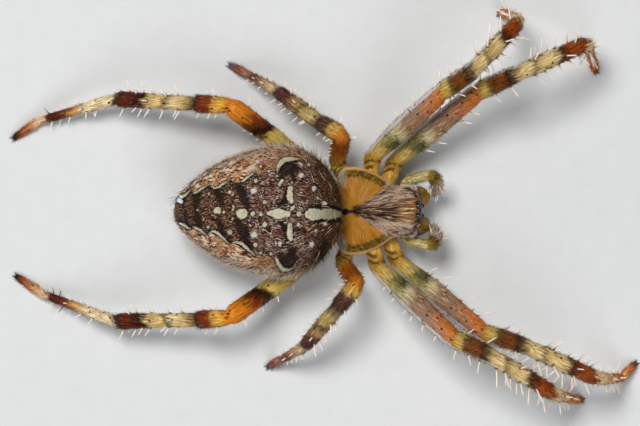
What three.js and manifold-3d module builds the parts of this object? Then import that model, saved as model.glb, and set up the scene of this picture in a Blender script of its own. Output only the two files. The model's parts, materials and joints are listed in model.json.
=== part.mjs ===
// A garden orb weaver, a grown female, life size, standing on its eight tarsi.
// Millimetres. The head faces +X, the animal's left side is +Y and its back is +Z.
// The floor is z = 0, straight below the middle of the animal.

import * as THREE from "three";
import { mergeVertices } from "three/addons/utils/BufferGeometryUtils.js";
import Module from "manifold-3d";

const manifoldLibrary = await Module();
manifoldLibrary.setup();

// ---------------------------------------------------------------- driving dimensions

const airGap = 0.3; // between two touching sub-parts
const cutGap = 0.35; // swelling of a neighbour that cuts a facing sub-part, so that flat facets keep airGap
const eyeGap = 0.06; // round an eye bead in its socket
const limbSides = 10;
const palpSides = 8;
const carapaceExtraGap = 0.16; // added where a coarse copy of the carapace cuts its neighbours
const abdomenExtraGap = 0.08;
const slabWidth = 2.4; // of the thin slab that parts two nodes at a joint

const abdomen = {
  rear: -8.73,
  front: 1.31,
  halfWidth: 3.88,
  topHeight: 0.86, // height above the middle line, as a share of the half width
  bellyDepth: 0.88,
  middleZ: 5.3, // middle line at the front third
  middleSlope: 0.17, // the middle line climbs towards the head
  shoulderX: -1.9,
  shoulderY: 2.3,
  shoulderLength: 1.3,
  shoulderWidth: 1.2,
  shoulderHump: 0.22,
};

const carapace = {
  marginZ: 3.15,
  edgeDrop: 0.12,
  clypeusLift: 0.5, // the underside of the head lies this much above the margin
  headStart: 4.0,
  headFull: 5.2,
  grooveX: 2.05,
  grooveLength: 0.42,
  grooveWidth: 0.3,
  grooveDepth: 0.32,
  neckDepth: 0.12, // the slanted furrows that part the head from the thorax
  neckWidth: 0.22,
  neckRearX: 2.3,
  neckRearY: 0.3,
  neckSlant: 0.55,
};

const sternum = { middleZ: 2.45, halfDepth: 0.68 };
const thoraxCore = { center: [2.75, 0, 3.05], halfSizes: [1.25, 1.0, 0.7] };

const pedicel = { rear: -0.2, front: 2.0, radius: 0.34, z: 2.3 };

const chelicera = {
  x: 5.86,
  spread: 0.82, // from the middle plane
  top: 3.32,
  length: 2.1,
  halfWidth: 0.66,
  halfDepth: 0.68,
};

const fang = { length: 0.8, radius: 0.19, curl: 0.3, turn: 2.2, gap: 0.12, drop: 0.28 };

const spinneretPlace = new THREE.Vector3(-6.7, 0, 1.75);

const spine = {
  radius: 0.26,
  lean: 0.42, // towards the foot, in radians
  sides: 4,
  rootDepth: 0.34, // how far below the skin at the segment's end its root lies
  firstShare: 0.16, // the rows start and end at these shares of the segment
  lastShare: 0.86,
  tipRoom: 0.05, // kept free round the tip, besides the air gap
  bodyRoom: 0.15, // kept free round the middle
};
const soleHeight = 0.07; // the middle of a tarsus tip rides this high above the floor

// ---------------------------------------------------------------- solids

function welded(geometry) {
  const bare = geometry.clone();
  bare.deleteAttribute("normal");
  bare.deleteAttribute("uv");
  return mergeVertices(bare, 1e-4);
}

function solid(geometry) {
  const mesh = welded(geometry);
  const corners = mesh.index.array;
  const kept = [];
  for (let first = 0; first < corners.length; first += 3) {
    const [a, b, c] = corners.slice(first, first + 3);
    if (a !== b && b !== c && c !== a) kept.push(a, b, c);
  }
  return new manifoldLibrary.Manifold(
    new manifoldLibrary.Mesh({
      numProp: 3,
      vertProperties: Float32Array.from(mesh.attributes.position.array),
      triVerts: Uint32Array.from(kept),
    }),
  );
}

// The same closed shape with every point moved out along its normal.
function swollen(geometry, amount) {
  const mesh = welded(geometry);
  mesh.computeVertexNormals();
  const place = mesh.attributes.position;
  const normal = mesh.attributes.normal;
  for (let index = 0; index < place.count; index += 1) {
    place.setXYZ(
      index,
      place.getX(index) + normal.getX(index) * amount,
      place.getY(index) + normal.getY(index) * amount,
      place.getZ(index) + normal.getZ(index) * amount,
    );
  }
  return mesh;
}

function joined(solids) {
  return solids.reduce((whole, piece) => whole.add(piece));
}

function clearance(geometries, amount = cutGap) {
  return joined(geometries.map((geometry) => solid(swollen(geometry, amount))));
}

function largest(body) {
  const pieces = body.decompose();
  pieces.sort((one, other) => other.volume() - one.volume());
  return pieces[0];
}

function geometryOf(body) {
  const mesh = body.getMesh();
  const geometry = new THREE.BufferGeometry();
  geometry.setAttribute("position", new THREE.BufferAttribute(mesh.vertProperties, 3));
  geometry.setIndex(new THREE.BufferAttribute(mesh.triVerts, 1));
  return geometry;
}

// ---------------------------------------------------------------- shapes

// A smooth outline through [along, radius] pairs, closed on the axis at both ends.
function smoothOutline(points, steps) {
  const corners = points.map(([along, radius]) => new THREE.Vector2(radius, along));
  const curve = new THREE.SplineCurve(corners);
  const outline = curve.getPoints(steps);
  outline.forEach((point) => {
    point.x = Math.max(point.x, 0);
  });
  return outline;
}

// A body of revolution lying along +X.
function turned(outline, sides) {
  const geometry = new THREE.LatheGeometry(outline, sides);
  geometry.rotateZ(-Math.PI / 2);
  return geometry;
}

function reshaped(geometry, rule) {
  const place = geometry.attributes.position;
  const point = new THREE.Vector3();
  for (let index = 0; index < place.count; index += 1) {
    point.fromBufferAttribute(place, index);
    rule(point);
    place.setXYZ(index, point.x, point.y, point.z);
  }
  return geometry;
}

function ellipsoid(center, halfSizes, columns = 16, rows = 10) {
  const geometry = new THREE.SphereGeometry(1, columns, rows);
  geometry.scale(...halfSizes);
  geometry.translate(...center);
  return geometry;
}

function bump(distance, width) {
  return Math.exp(-((distance / width) ** 2));
}

// A unit step along a heading (turn about +Z from +X) and a pitch (climb), in degrees.
function directionOf(heading, pitch) {
  const turn = THREE.MathUtils.degToRad(heading);
  const climb = THREE.MathUtils.degToRad(pitch);
  const level = Math.cos(climb);
  return new THREE.Vector3(level * Math.cos(turn), level * Math.sin(turn), Math.sin(climb));
}

// Lays +X along a direction with +Z staying uppermost, and moves the origin to a point.
function layAlong(start, direction) {
  const forward = direction.clone().normalize();
  const side = new THREE.Vector3(-forward.y, forward.x, 0).normalize();
  const up = new THREE.Vector3().crossVectors(forward, side);
  return new THREE.Matrix4().makeBasis(forward, side, up).setPosition(start);
}

// Seeded random numbers, so that every build grows the same spines.
function seededRandom(seed) {
  let state = seed;
  return () => {
    state = (state + 0x6d2b79f5) | 0;
    let mixed = Math.imul(state ^ (state >>> 15), 1 | state);
    mixed = (mixed + Math.imul(mixed ^ (mixed >>> 7), 61 | mixed)) ^ mixed;
    return ((mixed ^ (mixed >>> 14)) >>> 0) / 4294967296;
  };
}

// ---------------------------------------------------------------- abdomen

// An egg with its broad end forward, deepest at the front third, with low shoulder humps.
const abdomenOutline = [
  [abdomen.rear, 0],
  [abdomen.rear + 0.32, 1.0],
  [-6.7, 2.5],
  [-4.9, 3.36],
  [-2.7, abdomen.halfWidth],
  [-0.9, 3.6],
  [0.45, 2.45],
  [1.12, 1.1],
  [abdomen.front, 0],
];

function abdomenMiddleZ(x) {
  return abdomen.middleZ + abdomen.middleSlope * (x + 0.4);
}

function abdomenGeometry(steps = 22, sideCount = 30) {
  return reshaped(turned(smoothOutline(abdomenOutline, steps), sideCount), (point) => {
    const isTop = point.z > 0;
    const share = isTop ? abdomen.topHeight : abdomen.bellyDepth;
    const humpAlong = bump(point.x - abdomen.shoulderX, abdomen.shoulderLength);
    const humpAcross = bump(Math.abs(point.y) - abdomen.shoulderY, abdomen.shoulderWidth);
    const hump = isTop ? abdomen.shoulderHump * humpAlong * humpAcross : 0;
    point.z = abdomenMiddleZ(point.x) + point.z * share + hump;
  });
}

// ---------------------------------------------------------------- cephalothorax

const carapaceOutline = [
  [0.95, 0],
  [0.98, 1.55],
  [1.32, 2.46],
  [2.1, 2.65],
  [3.05, 2.43],
  [3.9, 1.94],
  [4.5, 1.53],
  [5.5, 1.47],
  [5.95, 1.12],
  [6.06, 0.5],
  [6.07, 0],
];

const carapaceRidge = new THREE.SplineCurve([
  new THREE.Vector2(0.9, 3.3),
  new THREE.Vector2(1.7, 4.0),
  new THREE.Vector2(3.1, 4.5),
  new THREE.Vector2(4.6, 4.95),
  new THREE.Vector2(5.6, 4.85),
  new THREE.Vector2(6.07, 4.45),
]);

function carapaceRidgeZ(x) {
  const samples = carapaceRidge.getPoints(40);
  const after = samples.findIndex((sample) => sample.x >= x);
  if (after <= 0) return samples[after === 0 ? 0 : samples.length - 1].y;
  const [before, next] = [samples[after - 1], samples[after]];
  return THREE.MathUtils.mapLinear(x, before.x, next.x, before.y, next.y);
}

function carapaceGeometry(steps = 22, sideCount = 26) {
  return reshaped(turned(smoothOutline(carapaceOutline, steps), sideCount), (point) => {
    const halfWidth = Math.hypot(point.y, point.z);
    const rise = halfWidth > 0 ? point.z / halfWidth : 0;
    const headShare = THREE.MathUtils.smoothstep(point.x, carapace.headStart, carapace.headFull);
    const rimZ = carapace.marginZ + headShare * carapace.clypeusLift;
    if (rise <= 0) {
      point.z = rimZ + rise * carapace.edgeDrop;
      return;
    }
    const dome = rise ** (0.85 - 0.2 * headShare);
    const grooveAlong = bump(point.x - carapace.grooveX, carapace.grooveLength);
    const groove = carapace.grooveDepth * grooveAlong * bump(point.y, carapace.grooveWidth);
    const furrowY = carapace.neckRearY + carapace.neckSlant * (point.x - carapace.neckRearX);
    const furrowStart = THREE.MathUtils.smoothstep(point.x, 2.2, 2.9);
    const furrowEnd = 1 - THREE.MathUtils.smoothstep(point.x, 4.1, 4.7);
    const furrowAcross = bump(Math.abs(point.y) - furrowY, carapace.neckWidth);
    const furrow = carapace.neckDepth * furrowStart * furrowEnd * furrowAcross;
    point.z = rimZ + (carapaceRidgeZ(point.x) - rimZ) * dome - groove - furrow;
  });
}

const sternumOutline = [
  [1.42, 0],
  [1.55, 0.75],
  [2.4, 1.16],
  [3.5, 1.12],
  [4.0, 0.62],
  [4.08, 0],
];

function sternumGeometry() {
  const outline = smoothOutline(sternumOutline, 7);
  return reshaped(turned(outline, 12), (point) => {
    const halfWidth = Math.hypot(point.y, point.z);
    const rise = halfWidth > 0 ? point.z / halfWidth : 0;
    const bulge = Math.sign(rise) * Math.abs(rise) ** 0.8 * Math.min(1, halfWidth);
    point.z = sternum.middleZ + sternum.halfDepth * bulge;
  });
}

// Joins the sternum's block to the carapace above it.
function thoraxCoreGeometry() {
  return ellipsoid(thoraxCore.center, thoraxCore.halfSizes, 10, 6);
}

const eyes = [
  { name: "eye_front_middle", x: 6.1, y: 0.3, z: 4.22, radius: 0.17 },
  { name: "eye_rear_middle", x: 5.88, y: 0.3, z: 4.68, radius: 0.17 },
  { name: "eye_front_side", x: 5.8, y: 1.2, z: 4.0, radius: 0.14 },
  { name: "eye_rear_side", x: 5.55, y: 1.33, z: 4.22, radius: 0.14 },
];

const sides = [
  { name: "left", sign: 1 },
  { name: "right", sign: -1 },
];

function eyeGeometry(eye, sign, extra = 0) {
  return ellipsoid([eye.x, eye.y * sign, eye.z], Array(3).fill(eye.radius + extra), 8, 5);
}

const cephalothoraxPieces = [carapaceGeometry(), sternumGeometry(), thoraxCoreGeometry()];
// The room kept round the cephalothorax: a coarser carapace, swollen a little more.
const carapaceClear = clearance([carapaceGeometry(11, 14)], cutGap + carapaceExtraGap);
const cephalothoraxClear = carapaceClear.add(clearance([sternumGeometry()]));
const abdomenClear = clearance([abdomenGeometry(11, 16)], cutGap + abdomenExtraGap);

function cephalothoraxBody() {
  let body = joined(cephalothoraxPieces.map(solid)).subtract(abdomenClear);
  for (const eye of eyes) {
    for (const { sign } of sides) {
      body = body.subtract(solid(eyeGeometry(eye, sign, eyeGap)));
    }
  }
  return largest(body);
}

// The narrow waist between the two halves of the body.
function pedicelBody() {
  const { rear, front, radius, z } = pedicel;
  const stalk = new THREE.CylinderGeometry(radius, radius, front - rear, 14);
  stalk.rotateZ(-Math.PI / 2);
  stalk.translate((rear + front) / 2, 0, z);
  return largest(solid(stalk).subtract(cephalothoraxClear).subtract(abdomenClear));
}

// ---------------------------------------------------------------- mouth

const cheliceraOutline = [
  [0, 0],
  [0.1, 0.3],
  [0.55, 0.58],
  [1.3, 0.5],
  [1.95, 0.32],
  [chelicera.length, 0],
];

function cheliceraGeometry(sign) {
  const shape = turned(smoothOutline(cheliceraOutline, 10), 14);
  shape.rotateY(Math.PI / 2);
  const widest = cheliceraOutline[2][1];
  shape.scale(chelicera.halfDepth / widest, chelicera.halfWidth / widest, 1);
  shape.translate(chelicera.x, chelicera.spread * sign, chelicera.top);
  return shape;
}

// A curved claw folded inwards under the end of its chelicera.
function fangGeometry(sign) {
  const { length, radius, curl, turn, gap, drop } = fang;
  const outline = smoothOutline(
    [
      [0, 0],
      [0.04, radius],
      [length * 0.5, radius * 0.7],
      [length, 0.04],
      [length + 0.03, 0],
    ],
    7,
  );
  const claw = reshaped(turned(outline, 6), (point) => {
    point.z -= curl * (1 - (point.x / length) ** 2) * 0.5;
  });
  claw.rotateZ(-turn * sign);
  claw.translate(
    chelicera.x + gap,
    (chelicera.spread + gap) * sign,
    chelicera.top - chelicera.length - drop,
  );
  return claw;
}

const cheliceraClear = joined(sides.map(({ sign }) => clearance([cheliceraGeometry(sign)])));

function cheliceraBody(sign) {
  return largest(solid(cheliceraGeometry(sign)).subtract(cephalothoraxClear));
}

function fangBody(sign) {
  const room = clearance([cheliceraGeometry(sign)], fang.gap);
  return largest(solid(fangGeometry(sign)).subtract(room));
}

// Two maxillae and the lip between them.
const mouthPieces = [
  ellipsoid([4.74, 0.42, 2.5], [0.43, 0.4, 0.52], 10, 6),
  ellipsoid([4.74, -0.42, 2.5], [0.43, 0.4, 0.52], 10, 6),
  ellipsoid([4.62, 0, 2.35], [0.36, 0.36, 0.42], 8, 6),
];
const mouthClear = clearance(mouthPieces);

function mouthBody() {
  const plates = joined(mouthPieces.map(solid));
  return largest(plates.subtract(cephalothoraxClear).subtract(cheliceraClear));
}

// ---------------------------------------------------------------- spinnerets

function spinneretPieces() {
  const { x, z } = spinneretPlace;
  const pieces = [ellipsoid([x, 0, z], [0.85, 0.8, 0.5], 12, 7)];
  const rows = [
    { along: 0.38, across: 0.3, lean: 0.1, length: 0.95, radius: 0.3 },
    { along: -0.4, across: 0.33, lean: -0.55, length: 1.0, radius: 0.27 },
  ];
  for (const { along, across, lean, length, radius } of rows) {
    for (const { sign } of sides) {
      const outline = [
        [0, 0],
        [0.03, radius],
        [length * 0.6, radius * 0.85],
        [length, 0],
      ];
      const tube = turned(smoothOutline(outline, 5), 7);
      tube.rotateY(Math.PI / 2);
      tube.rotateX(sign * -0.18);
      tube.rotateY(-lean);
      tube.translate(x + along, across * sign, z - 0.05);
      pieces.push(tube);
    }
  }
  return pieces;
}

function spinneretBody() {
  return largest(joined(spinneretPieces().map(solid)).subtract(abdomenClear));
}

// ---------------------------------------------------------------- limbs

// One limb segment along +X: [share of the length, radius] pairs with rounded ends.
function segmentGeometry(length, radii, sideCount, tipCap) {
  const [base, belly, end] = radii;
  const outline = smoothOutline(
    [
      [-0.45 * base, 0],
      [-0.12 * base, base * 0.8],
      [length * 0.12, base],
      [length * 0.42, belly],
      [length * 0.88, end],
      [length + 0.3 * tipCap * end, end * 0.85],
      [length + tipCap * end, 0],
    ],
    6,
  );
  return turned(outline, sideCount);
}

const hipRadii = [0.34, 0.52, 0.5]; // root, trochanter ring, joint with the femur
const segmentNames = ["femur", "patella", "tibia", "metatarsus", "tarsus"];

// Segment lengths and [base, belly, end] radii for the four pairs of legs, head end first.
const legPairs = {
  1: {
    lengths: [7.25, 2.85, 4.85, 4.8, 1.55],
    radii: [
      [0.53, 0.68, 0.58],
      [0.55, 0.56, 0.52],
      [0.46, 0.51, 0.47],
      [0.38, 0.27, 0.23],
      [0.24, 0.23, 0.18],
    ],
  },
  2: {
    lengths: [6.7, 2.6, 4.7, 4.6, 1.55],
    radii: [
      [0.53, 0.68, 0.58],
      [0.55, 0.56, 0.52],
      [0.46, 0.5, 0.46],
      [0.38, 0.27, 0.23],
      [0.24, 0.23, 0.18],
    ],
  },
  3: {
    lengths: [3.6, 1.95, 3.7, 2.9, 1.45],
    radii: [
      [0.46, 0.54, 0.51],
      [0.51, 0.52, 0.47],
      [0.44, 0.46, 0.4],
      [0.32, 0.25, 0.22],
      [0.23, 0.22, 0.17],
    ],
  },
  4: {
    lengths: [6.45, 2.2, 5.2, 5.2, 1.9],
    radii: [
      [0.46, 0.58, 0.6],
      [0.46, 0.5, 0.54],
      [0.43, 0.42, 0.49],
      [0.35, 0.27, 0.25],
      [0.25, 0.24, 0.18],
    ],
  },
};

// The pose: where each leg leaves the sternum, its hip, and the heading and pitch of each
// segment in degrees. The tarsus takes whatever pitch brings its tip to the floor.
const legPoses = {
  left_1: {
    root: [3.75, 0.65, 2.4],
    hip: [4.5, 3.0, 2.4],
    headings: [40, 24, 24, -46, -67],
    pitches: [28.5, 32.5, -16, -80],
  },
  left_2: {
    root: [2.85, 0.8, 2.5],
    hip: [3.17, 3.3, 3.15],
    headings: [43, 34, 47, 126, 179],
    pitches: [36, 30, -29, -79],
  },
  left_3: {
    root: [2.3, 0.8, 2.4],
    hip: [0.98, 2.95, 2.6],
    headings: [77.5, 150.5, 143, 149, 153.5],
    pitches: [63.5, -39.5, -26, -47],
  },
  left_4: {
    root: [1.55, 0.62, 2.35],
    hip: [-0.72, 2.85, 2.1],
    headings: [143.5, 177, 176, -165, -146.5],
    pitches: [25.5, -18, -22, -20],
  },
  right_1: {
    root: [3.8, -0.65, 2.4],
    hip: [4.65, -3.02, 2.4],
    headings: [-40, -17.5, -24.5, -4, 41.5],
    pitches: [25, 23, -12.5, -68.5],
  },
  right_2: {
    root: [2.9, -0.8, 2.5],
    hip: [3.45, -3.37, 3.15],
    headings: [-43.5, -24.5, -31, -20, -10],
    pitches: [24.5, 24, -13.5, -72.5],
  },
  right_3: {
    root: [2.25, -0.8, 2.4],
    hip: [1.32, -3.12, 2.6],
    headings: [-54, -129.5, -130, -148, -151],
    pitches: [65, -1.5, -36.5, -56],
  },
  right_4: {
    root: [1.55, -0.62, 2.35],
    hip: [-0.72, -3.07, 2.1],
    headings: [-145, -176, -178.5, 160.5, 146],
    pitches: [26.5, -29.5, -17, -22],
  },
};

function limbJoints(start, headings, pitches, lengths) {
  const joints = [new THREE.Vector3(...start)];
  lengths.forEach((length, order) => {
    const from = joints[order];
    const drop = (soleHeight - from.z) / length;
    const solved = THREE.MathUtils.radToDeg(Math.asin(THREE.MathUtils.clamp(drop, -1, 1)));
    const pitch = pitches[order] ?? solved;
    joints.push(from.clone().addScaledVector(directionOf(headings[order], pitch), length));
  });
  return joints;
}

// The coxa with the ring of the trochanter at its outer end, as one turned piece.
function hipGeometry(length, radii, sideCount) {
  const [base, ring, end] = radii;
  const outline = [
    [0, 0],
    [0.05, base],
    [length * 0.68, ring * 0.96],
    [length * 0.78, ring * 0.86],
    [length * 0.9, ring],
    [length, end],
    [length + 0.45 * end, 0],
  ];
  return turned(outline.map(([along, radius]) => new THREE.Vector2(radius, along)), sideCount);
}

// A limb segment from one joint to the next, with its ends, its radii and its geometry.
function segmentBetween(name, start, end, radii, sideCount) {
  const direction = end.clone().sub(start);
  const tipCap = name === "tarsus" ? 0.8 : 0.45;
  const geometry =
    name === "hip"
      ? hipGeometry(direction.length(), radii, sideCount)
      : segmentGeometry(direction.length(), radii, sideCount, tipCap);
  const frame = layAlong(start, direction);
  geometry.applyMatrix4(frame);
  return { name, start, end, radii, frame, geometry, length: direction.length() };
}

function legSegments(pose, pair) {
  const joints = limbJoints(pose.hip, pose.headings, pose.pitches, pair.lengths);
  const root = new THREE.Vector3(...pose.root);
  const segments = [segmentBetween("hip", root, joints[0], hipRadii, limbSides)];
  segmentNames.forEach((name, order) => {
    const [from, to] = joints.slice(order, order + 2);
    const sideCount = order < 3 ? limbSides : limbSides - 2;
    segments.push(segmentBetween(name, from, to, pair.radii[order], sideCount));
  });
  return segments;
}

const palpRoot = [4.75, 0.6, 2.6];
const palpHipRadii = [0.28, 0.32, 0.3];
const palpNames = ["femur", "patella", "tibia", "tarsus"];
const palpLengths = [1.65, 0.58, 0.7, 1.15];
const palpRadii = [
  [0.27, 0.28, 0.29],
  [0.33, 0.36, 0.34],
  [0.31, 0.32, 0.31],
  [0.3, 0.3, 0.2],
];
const palpPoses = {
  left: { start: [5.22, 1.8, 2.85], headings: [15, -22, -80, -110], pitches: [38, -25, -50, -68] },
  right: { start: [5.2, -1.73, 2.85], headings: [-14, 18, 80, 112], pitches: [40, -28, -50, -68] },
};

function palpSegments(pose) {
  const joints = limbJoints(pose.start, pose.headings, pose.pitches, palpLengths);
  const [x, y, z] = palpRoot;
  const root = new THREE.Vector3(x, y * Math.sign(pose.start[1]), z);
  const segments = [segmentBetween("hip", root, joints[0], palpHipRadii, palpSides)];
  palpNames.forEach((name, order) => {
    const [from, to] = joints.slice(order, order + 2);
    segments.push(segmentBetween(name, from, to, palpRadii[order], palpSides));
  });
  return segments;
}

// A thin slab across a joint, square to the way the limb turns there, which parts two nodes.
function partingSlab(before, after) {
  const inward = before.end.clone().sub(before.start).normalize();
  const outward = after.end.clone().sub(after.start).normalize();
  const slab = new THREE.BoxGeometry(airGap, slabWidth, slabWidth);
  slab.applyMatrix4(layAlong(before.end, inward.add(outward)));
  return solid(slab);
}

// How far the spines stand above each segment's surface.
const spineHeights = { femur: 0.8, patella: 1.15, tibia: 1.0, metatarsus: 0.8, palp: 0.6 };

// Rows of spines round a segment: [turn from the back in degrees, number in the row].
const spineRows = {
  femur: [
    [-30, 2],
    [28, 2],
    [78, 2],
    [-78, 2],
  ],
  patella: [
    [0, 1],
    [60, 1],
    [-60, 1],
  ],
  tibia: [
    [-8, 2],
    [66, 3],
    [-66, 3],
  ],
  metatarsus: [
    [50, 2],
    [-50, 2],
  ],
  palp: [
    [0, 1],
    [70, 1],
  ],
};

function distanceToSegment(point, segment) {
  const line = new THREE.Line3(segment.start, segment.end);
  const nearest = line.closestPointToPoint(point, true, new THREE.Vector3());
  return nearest.distanceTo(point);
}

// Egg-shaped rooms round the abdomen, the thorax and the chelicerae, which spines stay out of.
const abdomenCenterX = (abdomen.front + abdomen.rear) / 2;
const bodyRooms = [
  { center: [abdomenCenterX, 0, abdomenMiddleZ(abdomenCenterX)], reach: [5.6, 4.4, 4.1] },
  { center: [3.4, 0, 3.3], reach: [3.3, 3.1, 2.3] },
  { center: [chelicera.x, chelicera.spread, 2.27], reach: [1.2, 1.15, 1.5] },
  { center: [chelicera.x, -chelicera.spread, 2.27], reach: [1.2, 1.15, 1.5] },
];

// True where a point keeps its air gap to every other node and to the floor.
function isClear(point, ownNode, thickness) {
  if (point.z < airGap + thickness) return false;
  for (const { center, reach } of bodyRooms) {
    const inside = point.clone().sub(new THREE.Vector3(...center));
    inside.divide(new THREE.Vector3(...reach));
    if (inside.length() < 1) return false;
  }
  const isPast = (other) => {
    const room = Math.max(...other.radii) + airGap + thickness;
    return distanceToSegment(point, other) > room;
  };
  return nodes.every((node) => node === ownNode || node.segments.every(isPast));
}

// A random number that lies evenly within half a spread of zero.
function scatter(random, spread) {
  return spread * (random() - 0.5);
}

function spinesOn(segment, node, random, rowName) {
  const height = spineHeights[rowName];
  const cones = [];
  for (const [turn, count] of spineRows[rowName]) {
    for (let order = 0; order < count; order += 1) {
      const share = (order + 0.5 + scatter(random, 0.3)) / count;
      const along = segment.length * THREE.MathUtils.lerp(spine.firstShare, spine.lastShare, share);
      const tall = height * (1 + scatter(random, 0.3));
      const roll = THREE.MathUtils.degToRad(turn + scatter(random, 14));
      const radius = Math.min(spine.radius, segment.radii[2] * 0.9);
      const sunk = Math.max(0.04, segment.radii[2] - spine.rootDepth);
      const length = segment.radii[1] - sunk + tall;
      const cone = new THREE.ConeGeometry(radius, length, spine.sides);
      cone.translate(0, length / 2, 0);
      cone.rotateX(Math.PI / 2);
      cone.rotateY(spine.lean);
      cone.translate(0, 0, sunk);
      cone.rotateX(roll);
      cone.translate(along, 0, 0);
      cone.applyMatrix4(segment.frame);
      const level = Math.sin(spine.lean) * length;
      const tip = new THREE.Vector3(level, 0, sunk + Math.cos(spine.lean) * length);
      tip.applyAxisAngle(new THREE.Vector3(1, 0, 0), roll);
      tip.x += along;
      const tipPlace = tip.applyMatrix4(segment.frame);
      const axisPlace = new THREE.Vector3(along, 0, 0).applyMatrix4(segment.frame);
      const middle = axisPlace.clone().lerp(tipPlace, 0.6);
      const hasRoom = isClear(tipPlace, node, spine.tipRoom) && isClear(middle, node, spine.bodyRoom);
      if (hasRoom) cones.push(solid(cone));
    }
  }
  return cones;
}

// Three nodes a leg and two a palp, listed first so that spines can keep clear of them all.
const nodes = [];
for (const [name, pose] of Object.entries(legPoses)) {
  const [side, pairNumber] = name.split("_");
  const segments = legSegments(pose, legPairs[pairNumber]);
  const parts = {
    femur: segments.slice(0, 2),
    tibia: segments.slice(2, 4),
    tarsus: segments.slice(4),
  };
  for (const [part, list] of Object.entries(parts)) {
    nodes.push({ name: `leg_${name}_${part}`, kind: "leg", side, part, whole: segments, segments: list });
  }
}
for (const { name } of sides) {
  const segments = palpSegments(palpPoses[name]);
  nodes.push({ name: `palp_${name}_base`, kind: "palp", whole: segments, segments: segments.slice(0, 3) });
  nodes.push({ name: `palp_${name}_end`, kind: "palp", whole: segments, segments: segments.slice(3) });
}

function partedAtJoints(body, node) {
  const first = node.whole.indexOf(node.segments[0]);
  const last = node.whole.indexOf(node.segments[node.segments.length - 1]);
  let parted = body;
  if (first > 0) {
    parted = parted.subtract(partingSlab(node.whole[first - 1], node.whole[first]));
  }
  if (last < node.whole.length - 1) {
    parted = parted.subtract(partingSlab(node.whole[last], node.whole[last + 1]));
  }
  return largest(parted);
}

const floorBlock = new THREE.BoxGeometry(80, 80, 2);
floorBlock.translate(0, 0, -1);

// Where two hips or thighs lie closer than the air gap, the later one is cut back.
function clearOfNeighbours(body, node, order) {
  if (node.part !== "femur") return body;
  const isNeighbour = (other) => other.part === "femur" && other.side === node.side;
  const earlier = nodes.slice(0, order).filter(isNeighbour);
  return earlier.reduce((left, other) => {
    return left.subtract(clearance(other.segments.map((segment) => segment.geometry)));
  }, body);
}

function limbBody(node, order) {
  const random = seededRandom(1000 + order);
  const whole = joined(node.segments.map((segment) => solid(segment.geometry)));
  let body = partedAtJoints(whole, node);
  body = body.subtract(cephalothoraxClear).subtract(abdomenClear);
  body = clearOfNeighbours(body, node, order);
  if (node.kind === "palp") body = body.subtract(mouthClear).subtract(cheliceraClear);
  const cones = node.segments.flatMap((segment) => {
    const rowName = node.kind === "palp" ? "palp" : segment.name;
    if (!(rowName in spineRows) || segment.name === "hip") return [];
    return spinesOn(segment, node, random, rowName);
  });
  body = joined([body, ...cones]);
  return largest(body.subtract(solid(floorBlock)));
}

// ---------------------------------------------------------------- the animal

const materials = {
  abdomen: new THREE.MeshStandardMaterial({ color: 0x5a3a2c, roughness: 0.8, metalness: 0 }),
  carapace: new THREE.MeshStandardMaterial({ color: 0xb98a3e, roughness: 0.5, metalness: 0 }),
  mouth: new THREE.MeshStandardMaterial({ color: 0x7a5c22, roughness: 0.35, metalness: 0 }),
  leg: new THREE.MeshStandardMaterial({ color: 0xd8a45c, roughness: 0.5, metalness: 0 }),
  palp: new THREE.MeshStandardMaterial({ color: 0xd9c27a, roughness: 0.5, metalness: 0 }),
  eye: new THREE.MeshStandardMaterial({ color: 0x0d0a08, roughness: 0.1, metalness: 0 }),
  fang: new THREE.MeshStandardMaterial({ color: 0x2a1208, roughness: 0.2, metalness: 0 }),
};

const spider = new THREE.Group();

function addNode(name, geometry, material) {
  const mesh = new THREE.Mesh(geometry, material);
  mesh.name = name;
  spider.add(mesh);
}

addNode("abdomen", geometryOf(solid(abdomenGeometry())), materials.abdomen);
addNode("cephalothorax", geometryOf(cephalothoraxBody()), materials.carapace);
addNode("pedicel", geometryOf(pedicelBody()), materials.carapace);
addNode("spinnerets", geometryOf(spinneretBody()), materials.abdomen);
addNode("mouthparts", geometryOf(mouthBody()), materials.mouth);
for (const { name, sign } of sides) {
  addNode(`chelicera_${name}`, geometryOf(cheliceraBody(sign)), materials.mouth);
  addNode(`fang_${name}`, geometryOf(fangBody(sign)), materials.fang);
  for (const eye of eyes) {
    addNode(`${eye.name}_${name}`, geometryOf(solid(eyeGeometry(eye, sign))), materials.eye);
  }
}
nodes.forEach((node, order) => {
  addNode(node.name, geometryOf(limbBody(node, order)), materials[node.kind]);
});

// The origin goes to the floor under the middle of the whole animal.
const extent = new THREE.Box3().setFromObject(spider);
const middle = extent.getCenter(new THREE.Vector3());
spider.position.set(-middle.x, -middle.y, -extent.min.z);
spider.updateMatrixWorld(true);

export default spider;
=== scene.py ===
# %% [markdown]
# # A garden orb weaver in life size
# A grown female garden spider has an egg-shaped abdomen with a pale cross on it, an amber
# thorax, and eight banded, spiny legs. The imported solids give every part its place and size.
# This lesson grows a fine skin over each solid, marks it, and plants spines and hair on it.
# All lengths below are millimetres, measured from the animal's waist, with the head towards
# +X, its left side towards +Y and its back towards +Z. The last step turns them into metres.

# %% The frame and the tools
import json
import math
from itertools import product

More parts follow.
